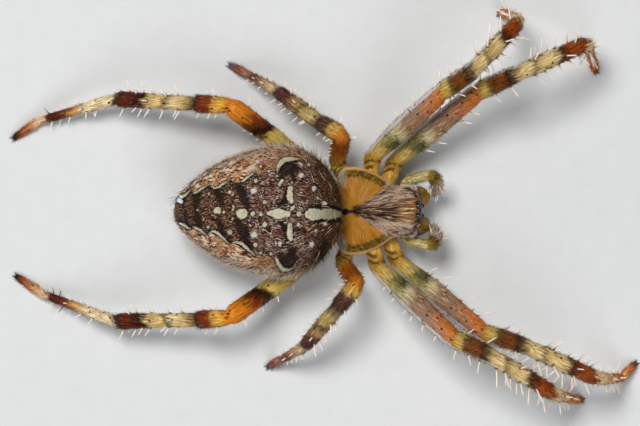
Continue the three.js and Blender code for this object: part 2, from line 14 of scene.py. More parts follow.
import bpy
import numpy as np
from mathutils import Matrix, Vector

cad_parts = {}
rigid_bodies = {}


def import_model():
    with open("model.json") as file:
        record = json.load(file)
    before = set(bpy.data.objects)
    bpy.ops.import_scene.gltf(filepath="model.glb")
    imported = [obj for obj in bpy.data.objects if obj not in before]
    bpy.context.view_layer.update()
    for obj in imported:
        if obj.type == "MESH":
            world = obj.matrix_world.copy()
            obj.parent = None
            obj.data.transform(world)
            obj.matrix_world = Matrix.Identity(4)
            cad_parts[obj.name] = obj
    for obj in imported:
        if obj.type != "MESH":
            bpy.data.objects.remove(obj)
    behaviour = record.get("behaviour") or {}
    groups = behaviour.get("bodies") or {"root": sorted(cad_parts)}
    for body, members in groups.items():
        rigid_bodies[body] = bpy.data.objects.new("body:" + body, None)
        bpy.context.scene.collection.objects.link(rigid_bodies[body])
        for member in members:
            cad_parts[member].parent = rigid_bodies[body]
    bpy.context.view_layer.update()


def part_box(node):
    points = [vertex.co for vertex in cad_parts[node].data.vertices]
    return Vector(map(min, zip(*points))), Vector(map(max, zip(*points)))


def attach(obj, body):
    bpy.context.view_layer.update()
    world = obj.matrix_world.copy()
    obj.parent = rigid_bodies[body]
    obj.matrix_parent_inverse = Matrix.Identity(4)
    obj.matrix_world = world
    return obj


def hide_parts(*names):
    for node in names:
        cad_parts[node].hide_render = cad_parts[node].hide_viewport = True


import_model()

# %% Where the waist lies in the frame
abdomen_low, abdomen_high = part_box("abdomen")
abdomen_rear = -8.73
waist = np.array([abdomen_low[0] * 1000 - abdomen_rear, (abdomen_low[1] + abdomen_high[1]) * 500, 0])
print("waist at", waist.round(3), "mm")


def in_frame(points):
    """Turns millimetres round the waist into metres in the frame."""
    return (np.asarray(points, float) + waist) * 0.001


# %% [markdown]
# ## Camera, floor and light
# The animal is seen from straight above, as it is on its web, so the camera looks down from
# a quarter of a metre with a long lens. A pale floor and large soft lamps are a plain studio.
# The key lamp hangs almost overhead, a little behind and to the left, which keeps the shadows
# short. A wide weak lamp on the other side opens them, and a low one behind the animal draws
# a light rim along the rear edge of each leg.

# %% Camera
from_above = bpy.data.cameras.new("from_above")
from_above.sensor_width = 36.0
camera_height, back_height, seen_width = 253.5, 3.5, 38.4
from_above.lens = from_above.sensor_width * (camera_height - back_height) / seen_width
from_above.clip_start = 0.005
camera = bpy.data.objects.new("from_above", from_above)
camera_aside = -0.12
camera.location = in_frame((0.0, camera_aside, camera_height))
bpy.context.scene.collection.objects.link(camera)
bpy.context.scene.camera = camera
print("camera at", tuple(round(value, 4) for value in camera.location))


# %% Lamps
# Each lamp: its place in metres, the width of its disc, its power in watts and its tint.
lamps = {
    "lamp_key": ((-0.05, 0.08, 0.27), 0.10, 0.64, (1.0, 0.97, 0.93)),
    "lamp_fill": ((0.08, -0.16, 0.22), 0.20, 0.30, (0.97, 0.98, 1.0)),
    "lamp_rim": ((-0.24, -0.02, 0.07), 0.12, 0.13, (1.0, 1.0, 1.0)),
}
for name, (place, size, power, tint) in lamps.items():
    lamp = bpy.data.lights.new(name, "AREA")
    lamp.shape, lamp.size, lamp.energy, lamp.color = "DISK", size, power, tint
    holder = bpy.data.objects.new(name, lamp)
    holder.location = place
    holder.rotation_euler = (-holder.location).to_track_quat("-Z", "Y").to_euler()
    bpy.context.scene.collection.objects.link(holder)

studio = bpy.data.worlds.new("studio")
studio.use_nodes = True
sky = studio.node_tree.nodes["Background"].inputs
sky["Color"].default_value = (0.86, 0.88, 0.90, 1.0)
sky["Strength"].default_value = 0.10
bpy.context.scene.world = studio
bpy.context.scene.view_settings.view_transform = "Standard"
print("lamps", list(lamps))

# %% [markdown]
# ## Small tools
# Every piece here is a mesh worked out with numbers, because a spider's skin is a set of
# smooth tubes and domes with exact places on them. These tools make a mesh from arrays,
# draw a smooth line through a few sizes, and give smooth random wander.


# %% Mesh tools
join = np.concatenate


def columns(*values):
    """Sets rows of numbers side by side, such as x, y and z."""
    return np.stack(values, -1)


def mesh_piece(name, points, quads=(), triangles=(), smooth=True):
    """Makes an object from points in millimetres and from four- and three-cornered faces."""
    quads = np.asarray(quads, np.int32).reshape(-1, 4)
    triangles = np.asarray(triangles, np.int32).reshape(-1, 3)
    mesh = bpy.data.meshes.new(name)
    mesh.vertices.add(len(points))
    mesh.vertices.foreach_set("co", in_frame(points).astype(np.float32).ravel())
    mesh.loops.add(quads.size + triangles.size)
    mesh.loops.foreach_set("vertex_index", join([quads.ravel(), triangles.ravel()]))
    mesh.polygons.add(len(quads) + len(triangles))
    starts = join([np.arange(len(quads)) * 4, quads.size + np.arange(len(triangles)) * 3])
    mesh.polygons.foreach_set("loop_start", starts.astype(np.int32))
    mesh.update(calc_edges=True)
    mesh.validate()
    mesh.polygons.foreach_set("use_smooth", np.full(len(mesh.polygons), smooth))
    piece = bpy.data.objects.new(name, mesh)
    bpy.context.scene.collection.objects.link(piece)
    return piece


def note(piece, notes):
    """Writes named numbers, or named vectors, for each point of a piece."""
    for name, values in notes.items():
        kind, key = ("FLOAT", "value") if np.ndim(values) == 1 else ("FLOAT_VECTOR", "vector")
        layer = piece.data.attributes.new(name, kind, "POINT")
        layer.data.foreach_set(key, np.asarray(values, np.float32).ravel())


def tube_faces(rings, sides):
    """Faces of a closed tube: rings of points, then a rear and a front end point."""
    ring, side = np.meshgrid(np.arange(rings - 1), np.arange(sides), indexing="ij")
    here, there, after = ring * sides, (ring + 1) * sides, (side + 1) % sides
    quads = columns(here + side, here + after, there + after, there + side).reshape(-1, 4)
    turn, end, last = np.arange(sides), np.full(sides, rings * sides), (rings - 1) * sides
    after = (turn + 1) % sides
    return quads, join([columns(end, after, turn), columns(end + 1, last + turn, last + after)])


# %% Lines and wander
def smooth_line(points, count):
    """A smooth line through corner points, sampled evenly by length."""
    points = np.asarray(points, float)
    last = len(points) - 1
    position = np.linspace(0, last, 60 * last + 1)
    start = np.minimum(position.astype(int), last - 1)
    part = (position - start)[:, None]
    before, here = points[np.maximum(start - 1, 0)], points[start]
    there, after = points[start + 1], points[np.minimum(start + 2, last)]
    slope_here, slope_there = (there - before) / 2, (after - here) / 2
    line = (
        (2 * here - 2 * there + slope_here + slope_there) * part**3
        + (3 * there - 3 * here - 2 * slope_here - slope_there) * part**2
        + slope_here * part
        + here
    )
    walked = join([[0], np.cumsum(np.linalg.norm(np.diff(line, axis=0), axis=1))])
    at = np.linspace(0, walked[-1], count)
    return columns(*(np.interp(at, walked, values) for values in line.T))


def eased(value, low, high):
    """0 below low, 1 above high, and a smooth step between."""
    share = np.clip((np.asarray(value, float) - low) / (high - low), 0, 1)
    return share * share * (3 - 2 * share)


def bump(distance, width):
    """1 in the middle, falling softly to nothing over about twice its width."""
    return np.exp(-((distance / width) ** 2))


def wander(points, size, seed):
    """Smooth random numbers from -1 to 1 over space, with lumps of about one size."""
    spot = np.asarray(points, float) / size + seed * 7.31
    cell = np.floor(spot).astype(np.int64)
    part = spot - cell
    part = part * part * (3 - 2 * part)
    total = np.zeros(len(spot))
    for corner in product((0, 1), repeat=3):
        place = cell + corner
        mixed = (place @ np.array([374761393, 668265263, 974634777]) + seed * 362437) & 0xFFFFFFFF
        mixed = ((mixed ^ (mixed >> 13)) * 1274126177) & 0xFFFFFFFF
        value = ((mixed ^ (mixed >> 16)) & 0xFFFF) / 32767.5 - 1
        total += value * np.prod(np.where(corner, part, 1 - part), axis=1)
    return total


def unit(vectors):
    return vectors / np.maximum(np.linalg.norm(vectors, axis=-1, keepdims=True), 1e-9)


print("wander sample", wander(np.array([[0.1, 0.2, 0.3]]), 1.0, 5).round(3))

# %% [markdown]
# ## Small tools for materials
# A material is a net of nodes. These short words place a node, feed it, and hand on its
# output, so that each material below reads as a recipe. Whatever more than one material
# needs, such as the mottle of living cuticle, is a group with named inputs and outputs.


# %% Node tools
def colour(code):
    """A colour code as a maker's chart gives it, turned to light values."""
    share = [int(code[start:start + 2], 16) / 255 for start in (0, 2, 4)]
    light = [value / 12.92 if value <= 0.04045 else ((value + 0.055) / 1.055) ** 2.4 for value in share]
    return (*light, 1.0)


class Net:
    """Short words for the nodes of one tree; a feed may be an output, a number or a colour."""

    def __init__(self, tree):
        self.tree = tree

    def feed(self, node, feeds):
        for key, value in feeds.items():
            if isinstance(value, bpy.types.NodeSocket):
                self.tree.links.new(value, node.inputs[key])
            else:
                node.inputs[key].default_value = colour(value) if isinstance(value, str) else value
        return node

    def knot(self, kind, feeds=None, **settings):
        node = self.tree.nodes.new("ShaderNode" + kind)
        for key, value in settings.items():
            setattr(node, key, value)
        return self.feed(node, feeds or {})

    def sum(self, how, first, second=0.0):
        return self.knot("Math", {0: first, 1: second}, operation=how).outputs[0]

    def plus(self, first, *others):
        for other in others:
            first = self.sum("ADD", first, other)
        return first

    def less(self, first, second):
        return self.sum("SUBTRACT", first, second)

    def times(self, first, *others):
        for other in others:
            first = self.sum("MULTIPLY", first, other)
        return first

    def size(self, value, middle=0.0):
        """How far a number is from a middle, whichever the side."""
        return self.sum("ABSOLUTE", self.less(value, middle) if middle else value)

    def mix(self, share, first, second):
        return self.knot("Mix", {0: share, 6: first, 7: second}, data_type="RGBA").outputs[2]

    def step(self, value, low, high, to_low=0.0, to_high=1.0):
        feeds = {"Value": value, "From Min": low, "From Max": high, "To Min": to_low, "To Max": to_high}
        return self.knot("MapRange", feeds, interpolation_type="SMOOTHSTEP").outputs["Result"]

    def span(self, value, low, full, fading, high):
        """1 between full and fading, and 0 outside low and high."""
        return self.times(self.step(value, low, full), self.step(value, high, fading))

    def scaled(self, vector, share):
        return self.knot("VectorMath", {0: vector, "Scale": share}, operation="SCALE").outputs[0]

    def stretch(self, vector, sizes):
        """Divides space by a size on each axis, so that one lump has that size."""
        scale = tuple(1 / size for size in sizes)
        return self.knot("VectorMath", {0: vector, 1: scale}, operation="MULTIPLY").outputs[0]

    def noise(self, vector, sizes, detail=2.0, out="Fac"):
        feeds = {"Vector": self.stretch(vector, sizes), "Scale": 1.0, "Detail": detail}
        return self.knot("TexNoise", feeds).outputs[out]

    def sway(self, vector, sizes, reach):
        """Noise round zero, up to a reach either way."""
        return self.times(self.less(self.noise(vector, sizes, 3.0), 0.5), reach)

    def swirled(self, vector, size, reach):
        """The place itself, pushed about by slow noise, so that straight grain swirls."""
        push = self.noise(vector, (size,) * 3, 1.0, "Color")
        push = self.knot("VectorMath", {0: push, 1: (0.5,) * 3}, operation="SUBTRACT").outputs[0]
        push = self.scaled(push, reach)
        return self.knot("VectorMath", {0: vector, 1: push}, operation="ADD").outputs[0]

    def cells(self, vector, sizes):
        feeds = {"Vector": self.stretch(vector, sizes), "Scale": 1.0}
        return self.knot("TexVoronoi", feeds).outputs["Distance"]

    def ramp(self, value, *stops):
        node = self.knot("ValToRGB", {"Fac": value})
        line = node.color_ramp
        while len(line.elements) < len(stops):
            line.elements.new(0.5)
        for element, (place, _) in zip(line.elements, stops):
            element.position = place
        for element, (_, tone) in zip(line.elements, stops):
            element.color = colour(tone)
        return node.outputs["Color"]

    def note(self, name):
        return self.knot("Attribute", attribute_type="GEOMETRY", attribute_name=name).outputs["Fac"]

    def spot(self, name="place"):
        return self.knot("Attribute", attribute_type="GEOMETRY", attribute_name=name).outputs["Vector"]

    def axis(self, vector, letter):
        return self.knot("SeparateXYZ", {0: vector}).outputs[letter]

    def use(self, shared, feeds):
        node = self.tree.nodes.new("ShaderNodeGroup")
        node.node_tree = shared
        return self.feed(node, feeds).outputs


print("node words", [word for word in dir(Net) if not word.startswith("_")])


# %% Groups and materials
def group(name, inputs, outputs):
    """An empty node group: its net, its inlet, and a way to link its results."""
    tree = bpy.data.node_groups.new(name, "ShaderNodeTree")
    for ways, sockets in (("INPUT", inputs), ("OUTPUT", outputs)):
        for label, kind in sockets.items():
            tree.interface.new_socket(label, in_out=ways, socket_type="NodeSocket" + kind)
    inlet = tree.nodes.new("NodeGroupInput").outputs
    outlet = tree.nodes.new("NodeGroupOutput")
    return Net(tree), inlet, lambda **results: [
        tree.links.new(socket, outlet.inputs[label]) for label, socket in results.items()
    ]


soft_shine = 0.14


def material(name, recipe, roughness=0.5, relief=0.0, **shader):
    """A Principled material; its recipe returns a colour, or colour, roughness and height."""
    made = bpy.data.materials.new(name)
    made.use_nodes = True
    net = Net(made.node_tree)
    principled = made.node_tree.nodes["Principled BSDF"]
    result = recipe(net)
    base, rough, height = result if isinstance(result, tuple) else (result, None, None)
    feeds = {
        "Roughness": roughness if rough is None else rough,
        "Base Color": base,
        "Specular IOR Level": soft_shine,
    }
    feeds.update({label.replace("_", " "): value for label, value in shader.items()})
    if height is not None:
        lift = net.knot("Bump", {"Height": height, "Distance": relief * 0.001, "Strength": 1.0})
        feeds["Normal"] = lift.outputs["Normal"]
    net.feed(principled, feeds)
    return made


def dress(piece, made, slot, *nodes):
    """Gives a piece its material, its body and the solids that it stands for; the slot is not used."""
    piece.data.materials.append(made)
    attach(piece, "root")
    if nodes:
        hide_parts(*nodes)
    return piece


# %% The mottle of living cuticle
# Cuticle is never one colour: it has soft clouds, and fine lines or grains over them.
mottle, inlet, finish = group(
    "cuticle mottle",
    {"Place": "Vector", "Colour": "Color", "Clouds": "Float", "Grain": "Float"},
    {"Colour": "Color", "Height": "Float"},
)
grain = mottle.noise(inlet["Place"], (0.07, 0.05, 0.05))
cloud_share = mottle.times(mottle.sway(inlet["Place"], (0.55, 0.3, 0.3), 1.0), inlet["Clouds"])
grain_share = mottle.times(mottle.less(grain, 0.5), inlet["Grain"])
brighter = mottle.plus(cloud_share, grain_share, 1.0)
finish(Colour=mottle.scaled(inlet["Colour"], brighter), Height=grain)


def mottled(net, place, tone, clouds, fine):
    skin = net.use(mottle.tree, {"Place": place, "Colour": tone, "Clouds": clouds, "Grain": fine})
    return skin["Colour"], None, skin["Height"]


print("groups", [tree.name for tree in bpy.data.node_groups])

# %% [markdown]
# ## Hair
# A spider's hair is real relief, and it catches the light on every edge. Each hair is a
# slim three-sided cone with one to three bends in it, its root sunk in the skin. Thousands
# of them are one mesh, which any renderer can read. Every hair keeps the notes of the skin at
# its root, so that the coat carries the same markings as the skin under it.


# %% Setting hair
more = 1.0
root_depth = 0.02
thinnest_share = 0.25


def scattered(random, line, count, widest):
    """Even random spots on a turned form: which sample of its line, and the turn there."""
    weight = np.cumsum(line[:, 1] + 0.02)
    at = np.searchsorted(weight, random.random(int(count * more)) * weight[-1])
    return at, random.uniform(-widest, widest, len(at))


def leaning(lie, out, degrees):
    """Directions that lean from straight out towards the lie, by some degrees for each."""
    lean = np.radians(degrees)[:, None]
    return lie * np.sin(lean) + out * np.cos(lean)


def jitter(random, like, reach):
    """A random vector for each row of another array."""
    return random.normal(size=like.shape) * reach


print("hair is drawn at", more, "of its full number")


# %% Growing hair
def grow(name, roots, ways, lengths, radius, sag, seed, keep=None, unwrap=None, bends=2):
    """Plants tapered hairs: each starts along its way and bends by its sag vector."""
    random = np.random.default_rng(seed)
    count = len(roots)
    ways = unit(ways)
    aside = unit(np.cross(ways, random.normal(size=(count, 3))))
    across = np.cross(ways, aside)
    shares = np.linspace(0, 1, bends + 1)
    rows = []
    for share in shares[:-1]:
        middle = roots + lengths[:, None] * (ways * share + sag * share**2)
        thick = radius * (1 - (1 - thinnest_share) * share)
        for turn in (0, 2 * math.pi / 3, 4 * math.pi / 3):
            rows.append(middle + thick * (aside * math.cos(turn) + across * math.sin(turn)))
    rows.append(roots + lengths[:, None] * (ways + sag))
    points = np.stack(rows, 1)
    width = points.shape[1]
    first = (np.arange(count) * width)[:, None, None]
    quads = [
        [row * 3 + side, row * 3 + (side + 1) % 3, row * 3 + 3 + (side + 1) % 3, row * 3 + 3 + side]
        for row, side in product(range(bends - 1), range(3))
    ]
    last = (bends - 1) * 3
    triangles = [[0, 2, 1]] + [[last + side, last + (side + 1) % 3, width - 1] for side in range(3)]
    quads, triangles = (first + np.asarray(faces, int) for faces in (quads, triangles))
    piece = mesh_piece(name, points.reshape(-1, 3), quads, triangles)
    along = np.repeat(shares, [3] * bends + [1])
    note(piece, {"tip": np.tile(along, count), "own": np.repeat(random.random(count), width)})
    note(piece, {label: np.repeat(values, width, axis=0) for label, values in (keep or {}).items()})
    if unwrap is not None:
        patch = 0.003
        beside = np.array([0.0, 0.5, 1.0] * bends + [0.5]) - 0.5
        spread = columns(beside * patch, (along - 0.5) * patch)
        places = (np.clip(unwrap, patch, 1 - patch)[:, None, :] + spread[None]).reshape(-1, 2)
        corners = np.empty(len(piece.data.loops), np.int32)
        piece.data.loops.foreach_get("vertex_index", corners)
        layer = piece.data.uv_layers.new(name="OFBake")
        layer.data.foreach_set("uv", places[corners].astype(np.float32).ravel())
    return piece


def faces_of(piece):
    return sum(len(face.vertices) - 2 for face in piece.data.polygons)


print("roots lie", root_depth, "mm deep")

# %% [markdown]
# ## The abdomen's form
# The abdomen is an egg with its broad end forward, low shoulder humps, and a soft skin. A
# turned body that is then reshaped is the simplest true form for it, and its rings and
# sides give every mark a fixed place. Small pits mark where muscles pull the skin in. Under
# the front lies the furrow of the lungs.

# %% Abdomen form
abdomen_front = 1.31
abdomen_heart = [-3.6, 0, 4.9]
abdomen_outline = [
    (abdomen_rear, 0), (-8.41, 1.0), (-6.7, 2.5), (-4.9, 3.36), (-2.7, 3.88),
    (-0.9, 3.6), (0.45, 2.45), (1.12, 1.1), (abdomen_front, 0),
]
abdomen_line = smooth_line(abdomen_outline, 2000)
muscle_pits = [
    (-2.15, 0.62), (-2.2, -0.98), (-4.17, 1.03), (-4.18, -1.31), (-5.9, 0.8), (-5.9, -0.95),
]


def abdomen_middle(x):
    """The height of the abdomen's middle line, which rises a little to the front."""
    return 5.3 + 0.17 * (x + 0.4)


def abdomen_point(x, radius, turn):
    """A point of the abdomen's skin; the turn goes round from the back, 0, to the left."""
    y = radius * np.sin(turn)
    rise = radius * np.cos(turn)
    hump = 0.22 * bump(x + 1.9, 1.3) * bump(np.abs(y) - 2.3, 1.2)
    above = rise > 0
    z = abdomen_middle(x) + np.where(above, rise * 0.86 + hump, rise * 0.88)
    for pit_x, pit_y in muscle_pits:
        z = z - 0.07 * bump(np.hypot(x - pit_x, y - pit_y), 0.15) * above
    furrow = bump(x + 0.75, 0.16) * bump(y, 1.5) * ~above
    return columns(x, y, z + 0.10 * furrow)


abdomen_rings, abdomen_sides = ((230, 240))
rows = smooth_line(abdomen_outline, abdomen_rings + 2)[1:-1]
turns = np.linspace(-math.pi, math.pi, abdomen_sides, endpoint=False)
along, radii = (np.repeat(values, abdomen_sides) for values in rows.T)
abdomen_points = abdomen_point(along, radii, np.tile(turns, abdomen_rings))
ends = [[end, 0, abdomen_middle(end)] for end in (abdomen_rear, abdomen_front)]
abdomen_points = join([abdomen_points, ends])
wrinkle = wander(abdomen_points * [1.0, 0.35, 0.35], 0.22, 3) + 0.6 * wander(abdomen_points, 0.12, 4)
outward = unit((abdomen_points - abdomen_heart) * [0.5, 1, 1])
wrinkle_height = 0.014
abdomen_points = abdomen_points + outward * (wrinkle_height * wrinkle)[:, None]
abdomen_skin = mesh_piece("abdomen_skin", abdomen_points, *tube_faces(abdomen_rings, abdomen_sides))
print("abdomen", faces_of(abdomen_skin), "triangles")

# %% [markdown]
# ## The abdomen's markings
# The cross is a row of cream spots where pale crystals show through the skin, each spot a
# short chain of discs. The leaf is the dark scalloped field behind it: each scallop has a
# pale outer line and a black inner one, and a dark band runs in from it. Every point keeps
# its distance to these marks, not a colour, so that the material can cut a sharp, slightly
# ragged edge at any magnification, on skin and hair alike.

# %% Pale marks
# Each chain is a list of (along, across, radius) discs; the left side of the animal is +.
bars = [
    [(-0.77, -0.18, 0.13), (-0.64, -0.19, 0.26), (-0.41, -0.2, 0.37), (-0.15, -0.2, 0.32),
     (0.08, -0.2, 0.24), (0.32, -0.18, 0.32), (0.58, -0.18, 0.33), (0.84, -0.18, 0.27),
     (0.97, -0.19, 0.2), (1.32, -0.2, 0.16)],
    [(-3.02, -0.13, 0.13), (-2.71, -0.13, 0.2), (-2.52, -0.15, 0.31), (-2.37, -0.17, 0.31),
     (-2.18, -0.18, 0.22), (-1.9, -0.18, 0.17)],
    [(-1.75, 1.35, 0.14), (-1.78, 1.12, 0.16), (-1.77, 0.8, 0.18), (-1.69, 0.57, 0.15)],
    [(-1.77, -0.84, 0.14), (-1.77, -1.12, 0.16), (-1.79, -1.42, 0.18), (-1.72, -1.66, 0.12)],
    [(-4.74, -0.11, 0.22), (-4.6, -0.16, 0.32), (-4.53, -0.13, 0.26)],
    [(-6.15, 0.0, 0.16), (-6.05, 0.04, 0.2), (-5.99, -0.05, 0.13)],
    [(-1.69, 0.09, 0.09), (-1.56, 0.23, 0.09)],
    [(-2.22, 1.79, 0.09), (-2.41, 1.57, 0.09)],
    [(-2.37, -1.89, 0.11), (-2.35, -2.01, 0.1)],
    # The last chain is a painted highlight at the rear tip, not a pale mark.
    [(-8.44, 0.64, 0.14), (-8.28, 0.56, 0.12)],
]
scallop_lines = [
    [(-2.53, 2.35, 0.03), (-2.48, 2.54, 0.1), (-2.36, 2.8, 0.13), (-2.14, 3.03, 0.14),
     (-1.87, 3.07, 0.14), (-1.61, 3.07, 0.1), (-1.33, 3.07, 0.05)],
    [(-2.67, -2.65, 0.03), (-2.56, -2.88, 0.09), (-2.43, -3.18, 0.11), (-2.21, -3.48, 0.12),
     (-1.91, -3.49, 0.09), (-1.61, -3.39, 0.03)],
    [(-4.66, 1.74, 0.03), (-4.51, 1.81, 0.07), (-4.23, 2.02, 0.06), (-3.85, 2.31, 0.02)],
    [(-6.45, 1.46, 0.02), (-6.27, 1.36, 0.06), (-6.01, 1.4, 0.07), (-5.75, 1.6, 0.06),
     (-5.29, 1.86, 0.02)],
    [(-7.55, 1.04, 0.03), (-7.32, 1.13, 0.06), (-7.06, 1.3, 0.06), (-6.61, 1.56, 0.02)],
    [(-8.44, 0.92, 0.04), (-8.22, 0.85, 0.1), (-7.97, 1.0, 0.07), (-7.73, 1.23, 0.03)],
    [(-5.18, -1.89, 0.03), (-4.95, -1.84, 0.07), (-4.66, -1.91, 0.09), (-4.43, -2.12, 0.09),
     (-3.86, -2.61, 0.03)],
    [(-6.57, -1.3, 0.03), (-6.35, -1.2, 0.07), (-6.09, -1.29, 0.09), (-5.79, -1.55, 0.07),
     (-5.39, -1.95, 0.02)],
    [(-7.58, -0.91, 0.02), (-7.37, -1.03, 0.07), (-7.06, -1.17, 0.07), (-6.8, -1.39, 0.03)],
    [(-8.37, -0.74, 0.05), (-8.12, -0.84, 0.09), (-7.86, -1.01, 0.05), (-7.68, -1.07, 0.02)],
]
pale_spots = [
    (-1.24, -0.18, 0.15), (-1.28, -0.8, 0.11), (-3.25, 0.51, 0.12), (-3.29, 0.2, 0.04),
    (-3.25, -0.8, 0.14), (-3.48, -0.18, 0.13), (-3.96, -0.16, 0.14), (-3.79, 1.79, 0.13),
    (-3.81, -2.0, 0.13), (-3.52, -2.49, 0.09), (-2.89, -2.51, 0.09), (-1.64, 1.66, 0.07),
    (-3.02, 2.35, 0.09), (-3.5, 2.63, 0.09), (-7.27, 0.06, 0.07), (-5.69, -0.07, 0.09),
    (-5.12, 0.27, 0.09), (-5.15, 0.06, 0.08), (-5.15, -0.46, 0.09), (-5.33, 1.11, 0.11),
    (-6.59, 1.02, 0.08), (-5.33, -1.25, 0.14), (-6.64, -0.95, 0.09), (-4.18, -0.54, 0.07),
]
faint_spots = [
    (-3.92, 1.19, 0.17), (-3.92, -1.42, 0.18), (-1.11, 2.09, 0.15), (-1.18, 2.73, 0.13),
    (-0.67, 2.72, 0.07), (-0.36, 1.32, 0.13), (-0.15, 0.76, 0.07), (0.28, 0.42, 0.14),
    (0.3, -0.73, 0.14), (-0.24, -1.16, 0.09), (-0.49, -1.97, 0.15), (-3.72, 2.96, 0.09),
    (-2.88, -0.73, 0.06), (-1.17, -0.88, 0.08), (-5.18, 1.0, 0.09),
]
print("pale marks", len(bars + scallop_lines + pale_spots + faint_spots))

# %% Dark marks and the leaf's outline
black_lines = [
    [(-1.92, 1.44, 0.05), (-2.0, 0.93, 0.12), (-2.05, 0.55, 0.18), (-2.36, 0.4, 0.12),
     (-2.64, 0.44, 0.05)],
    [(-1.92, -1.8, 0.04), (-2.0, -1.42, 0.12), (-2.06, -0.99, 0.16), (-2.28, -0.73, 0.13),
     (-2.5, -0.63, 0.06)],
    [(-2.44, 2.17, 0.06), (-2.25, 2.6, 0.09), (-2.08, 2.82, 0.11), (-1.74, 2.91, 0.09),
     (-1.35, 2.91, 0.06)],
    [(-2.53, -2.66, 0.03), (-2.34, -3.05, 0.1), (-2.08, -3.29, 0.13), (-1.74, -3.33, 0.11),
     (-1.33, -2.7, 0.06)],
    [(-0.85, 0.14, 0.03), (-0.28, 0.27, 0.05), (0.11, 0.21, 0.1), (0.41, 0.28, 0.1),
     (0.79, 0.21, 0.14), (1.18, 0.07, 0.12)],
    [(-0.32, -0.65, 0.03), (0.15, -0.56, 0.11), (0.58, -0.62, 0.11), (1.01, -0.54, 0.14),
     (1.26, -0.44, 0.1)],
    [(-4.66, 1.63, 0.03), (-4.4, 1.77, 0.06), (-4.1, 2.0, 0.06), (-3.8, 2.23, 0.03)],
    [(-6.4, 1.28, 0.03), (-6.09, 1.23, 0.06), (-5.79, 1.4, 0.08), (-5.29, 1.8, 0.03)],
    [(-7.5, 0.94, 0.03), (-7.19, 1.02, 0.08), (-6.97, 1.22, 0.08), (-6.56, 1.54, 0.03)],
    [(-8.11, 0.51, 0.06), (-8.0, 0.82, 0.1), (-7.81, 1.07, 0.08), (-7.63, 1.25, 0.03)],
    [(-5.12, -1.77, 0.03), (-4.71, -1.77, 0.06), (-4.36, -1.99, 0.08), (-3.88, -2.38, 0.03)],
    [(-6.37, -1.07, 0.03), (-6.0, -1.2, 0.07), (-5.75, -1.47, 0.08), (-5.37, -1.91, 0.03)],
    [(-7.52, -0.82, 0.03), (-7.19, -0.96, 0.09), (-6.93, -1.18, 0.08), (-6.7, -1.44, 0.03)],
    [(-8.28, -0.6, 0.03), (-8.03, -0.74, 0.07), (-7.81, -0.96, 0.06), (-7.63, -1.08, 0.02)],
    [(-4.17, 1.03, 0.08)],
    [(-4.18, -1.31, 0.07)],
    [(-2.48, -0.16, 0.02)],
]
dark_bands = [
    [(-8.11, 0.56, 0.08), (-8.05, 0.12, 0.07), (-8.0, -0.31, 0.07), (-7.94, -0.7, 0.09)],
    [(-7.28, 0.86, 0.24), (-7.36, 0.51, 0.18), (-7.41, 0.17, 0.09), (-7.35, -0.18, 0.13),
     (-7.27, -0.52, 0.2), (-7.14, -0.87, 0.17)],
    [(-6.09, 1.11, 0.21), (-5.91, 0.77, 0.18), (-5.78, 0.42, 0.11)],
    [(-5.98, -0.56, 0.11), (-5.87, -0.91, 0.15), (-5.74, -1.29, 0.13), (-5.49, -1.72, 0.07)],
    [(-4.88, 1.45, 0.13), (-4.57, 1.11, 0.24), (-4.42, 0.68, 0.21), (-4.31, 0.34, 0.13),
     (-4.35, 0.08, 0.09)],
    [(-4.91, -0.61, 0.15), (-4.57, -1.03, 0.27), (-4.42, -1.51, 0.24), (-4.06, -2.19, 0.07)],
    [(-2.24, 2.04, 0.13), (-1.99, 2.39, 0.26), (-1.73, 2.6, 0.26), (-1.39, 2.6, 0.17),
     (-1.56, 2.13, 0.17)],
    [(-2.29, -2.66, 0.15), (-1.99, -2.92, 0.26), (-1.73, -2.66, 0.26), (-1.52, -2.4, 0.17),
     (-1.82, -2.14, 0.13)],
    [(0.28, -1.81, 0.21), (-0.02, -2.5, 0.21)],
]
leaf_left = [
    (-8.45, 0.91), (-8.17, 0.77), (-7.66, 1.25), (-7.57, 1.02), (-6.62, 1.55), (-6.44, 1.39),
    (-5.29, 1.85), (-4.88, 1.66), (-4.66, 1.73), (-3.8, 2.32), (-3.7, 2.18), (-2.55, 2.37),
    (-2.12, 2.97), (-1.35, 3.02), (0.2, 2.6),
]
leaf_right = [
    (-8.39, 0.7), (-7.64, 1.06), (-7.57, 0.91), (-6.71, 1.44), (-6.57, 1.25), (-5.37, 1.94),
    (-5.21, 1.86), (-3.95, 2.6), (-2.66, 2.67), (-2.17, 3.44), (-1.57, 3.38), (-0.88, 3.27),
    (0.2, 2.7),
]
belly_marks = [
    [(-5.2, side * 1.0, 0.1), (-3.8, side * 1.35, 0.22), (-2.2, side * 1.15, 0.12)]
    for side in (1, -1)
]
belly_field = [[(-6.2, 0, 0.6), (-3.5, 0, 1.0), (-1.4, 0, 0.7)]]


print("dark marks", len(black_lines + dark_bands))


# %% Distances to the marks
def inside(places, chains):
    """How far each place lies inside (+) or outside (-) the nearest of some chains of discs."""
    best = np.full(len(places), -9.0)
    for chain in chains:
        discs = np.asarray(chain if len(chain) > 1 else chain * 2, float)
        for start, end in zip(discs[:-1], discs[1:]):
            step = end[:2] - start[:2]
            share = np.clip((places - start[:2]) @ step / max(step @ step, 1e-9), 0, 1)
            gap = np.linalg.norm(places - start[:2] - share[:, None] * step, axis=1)
            best = np.maximum(best, start[2] + share * (end[2] - start[2]) - gap)
    return best


abdomen_half_height = 3.4


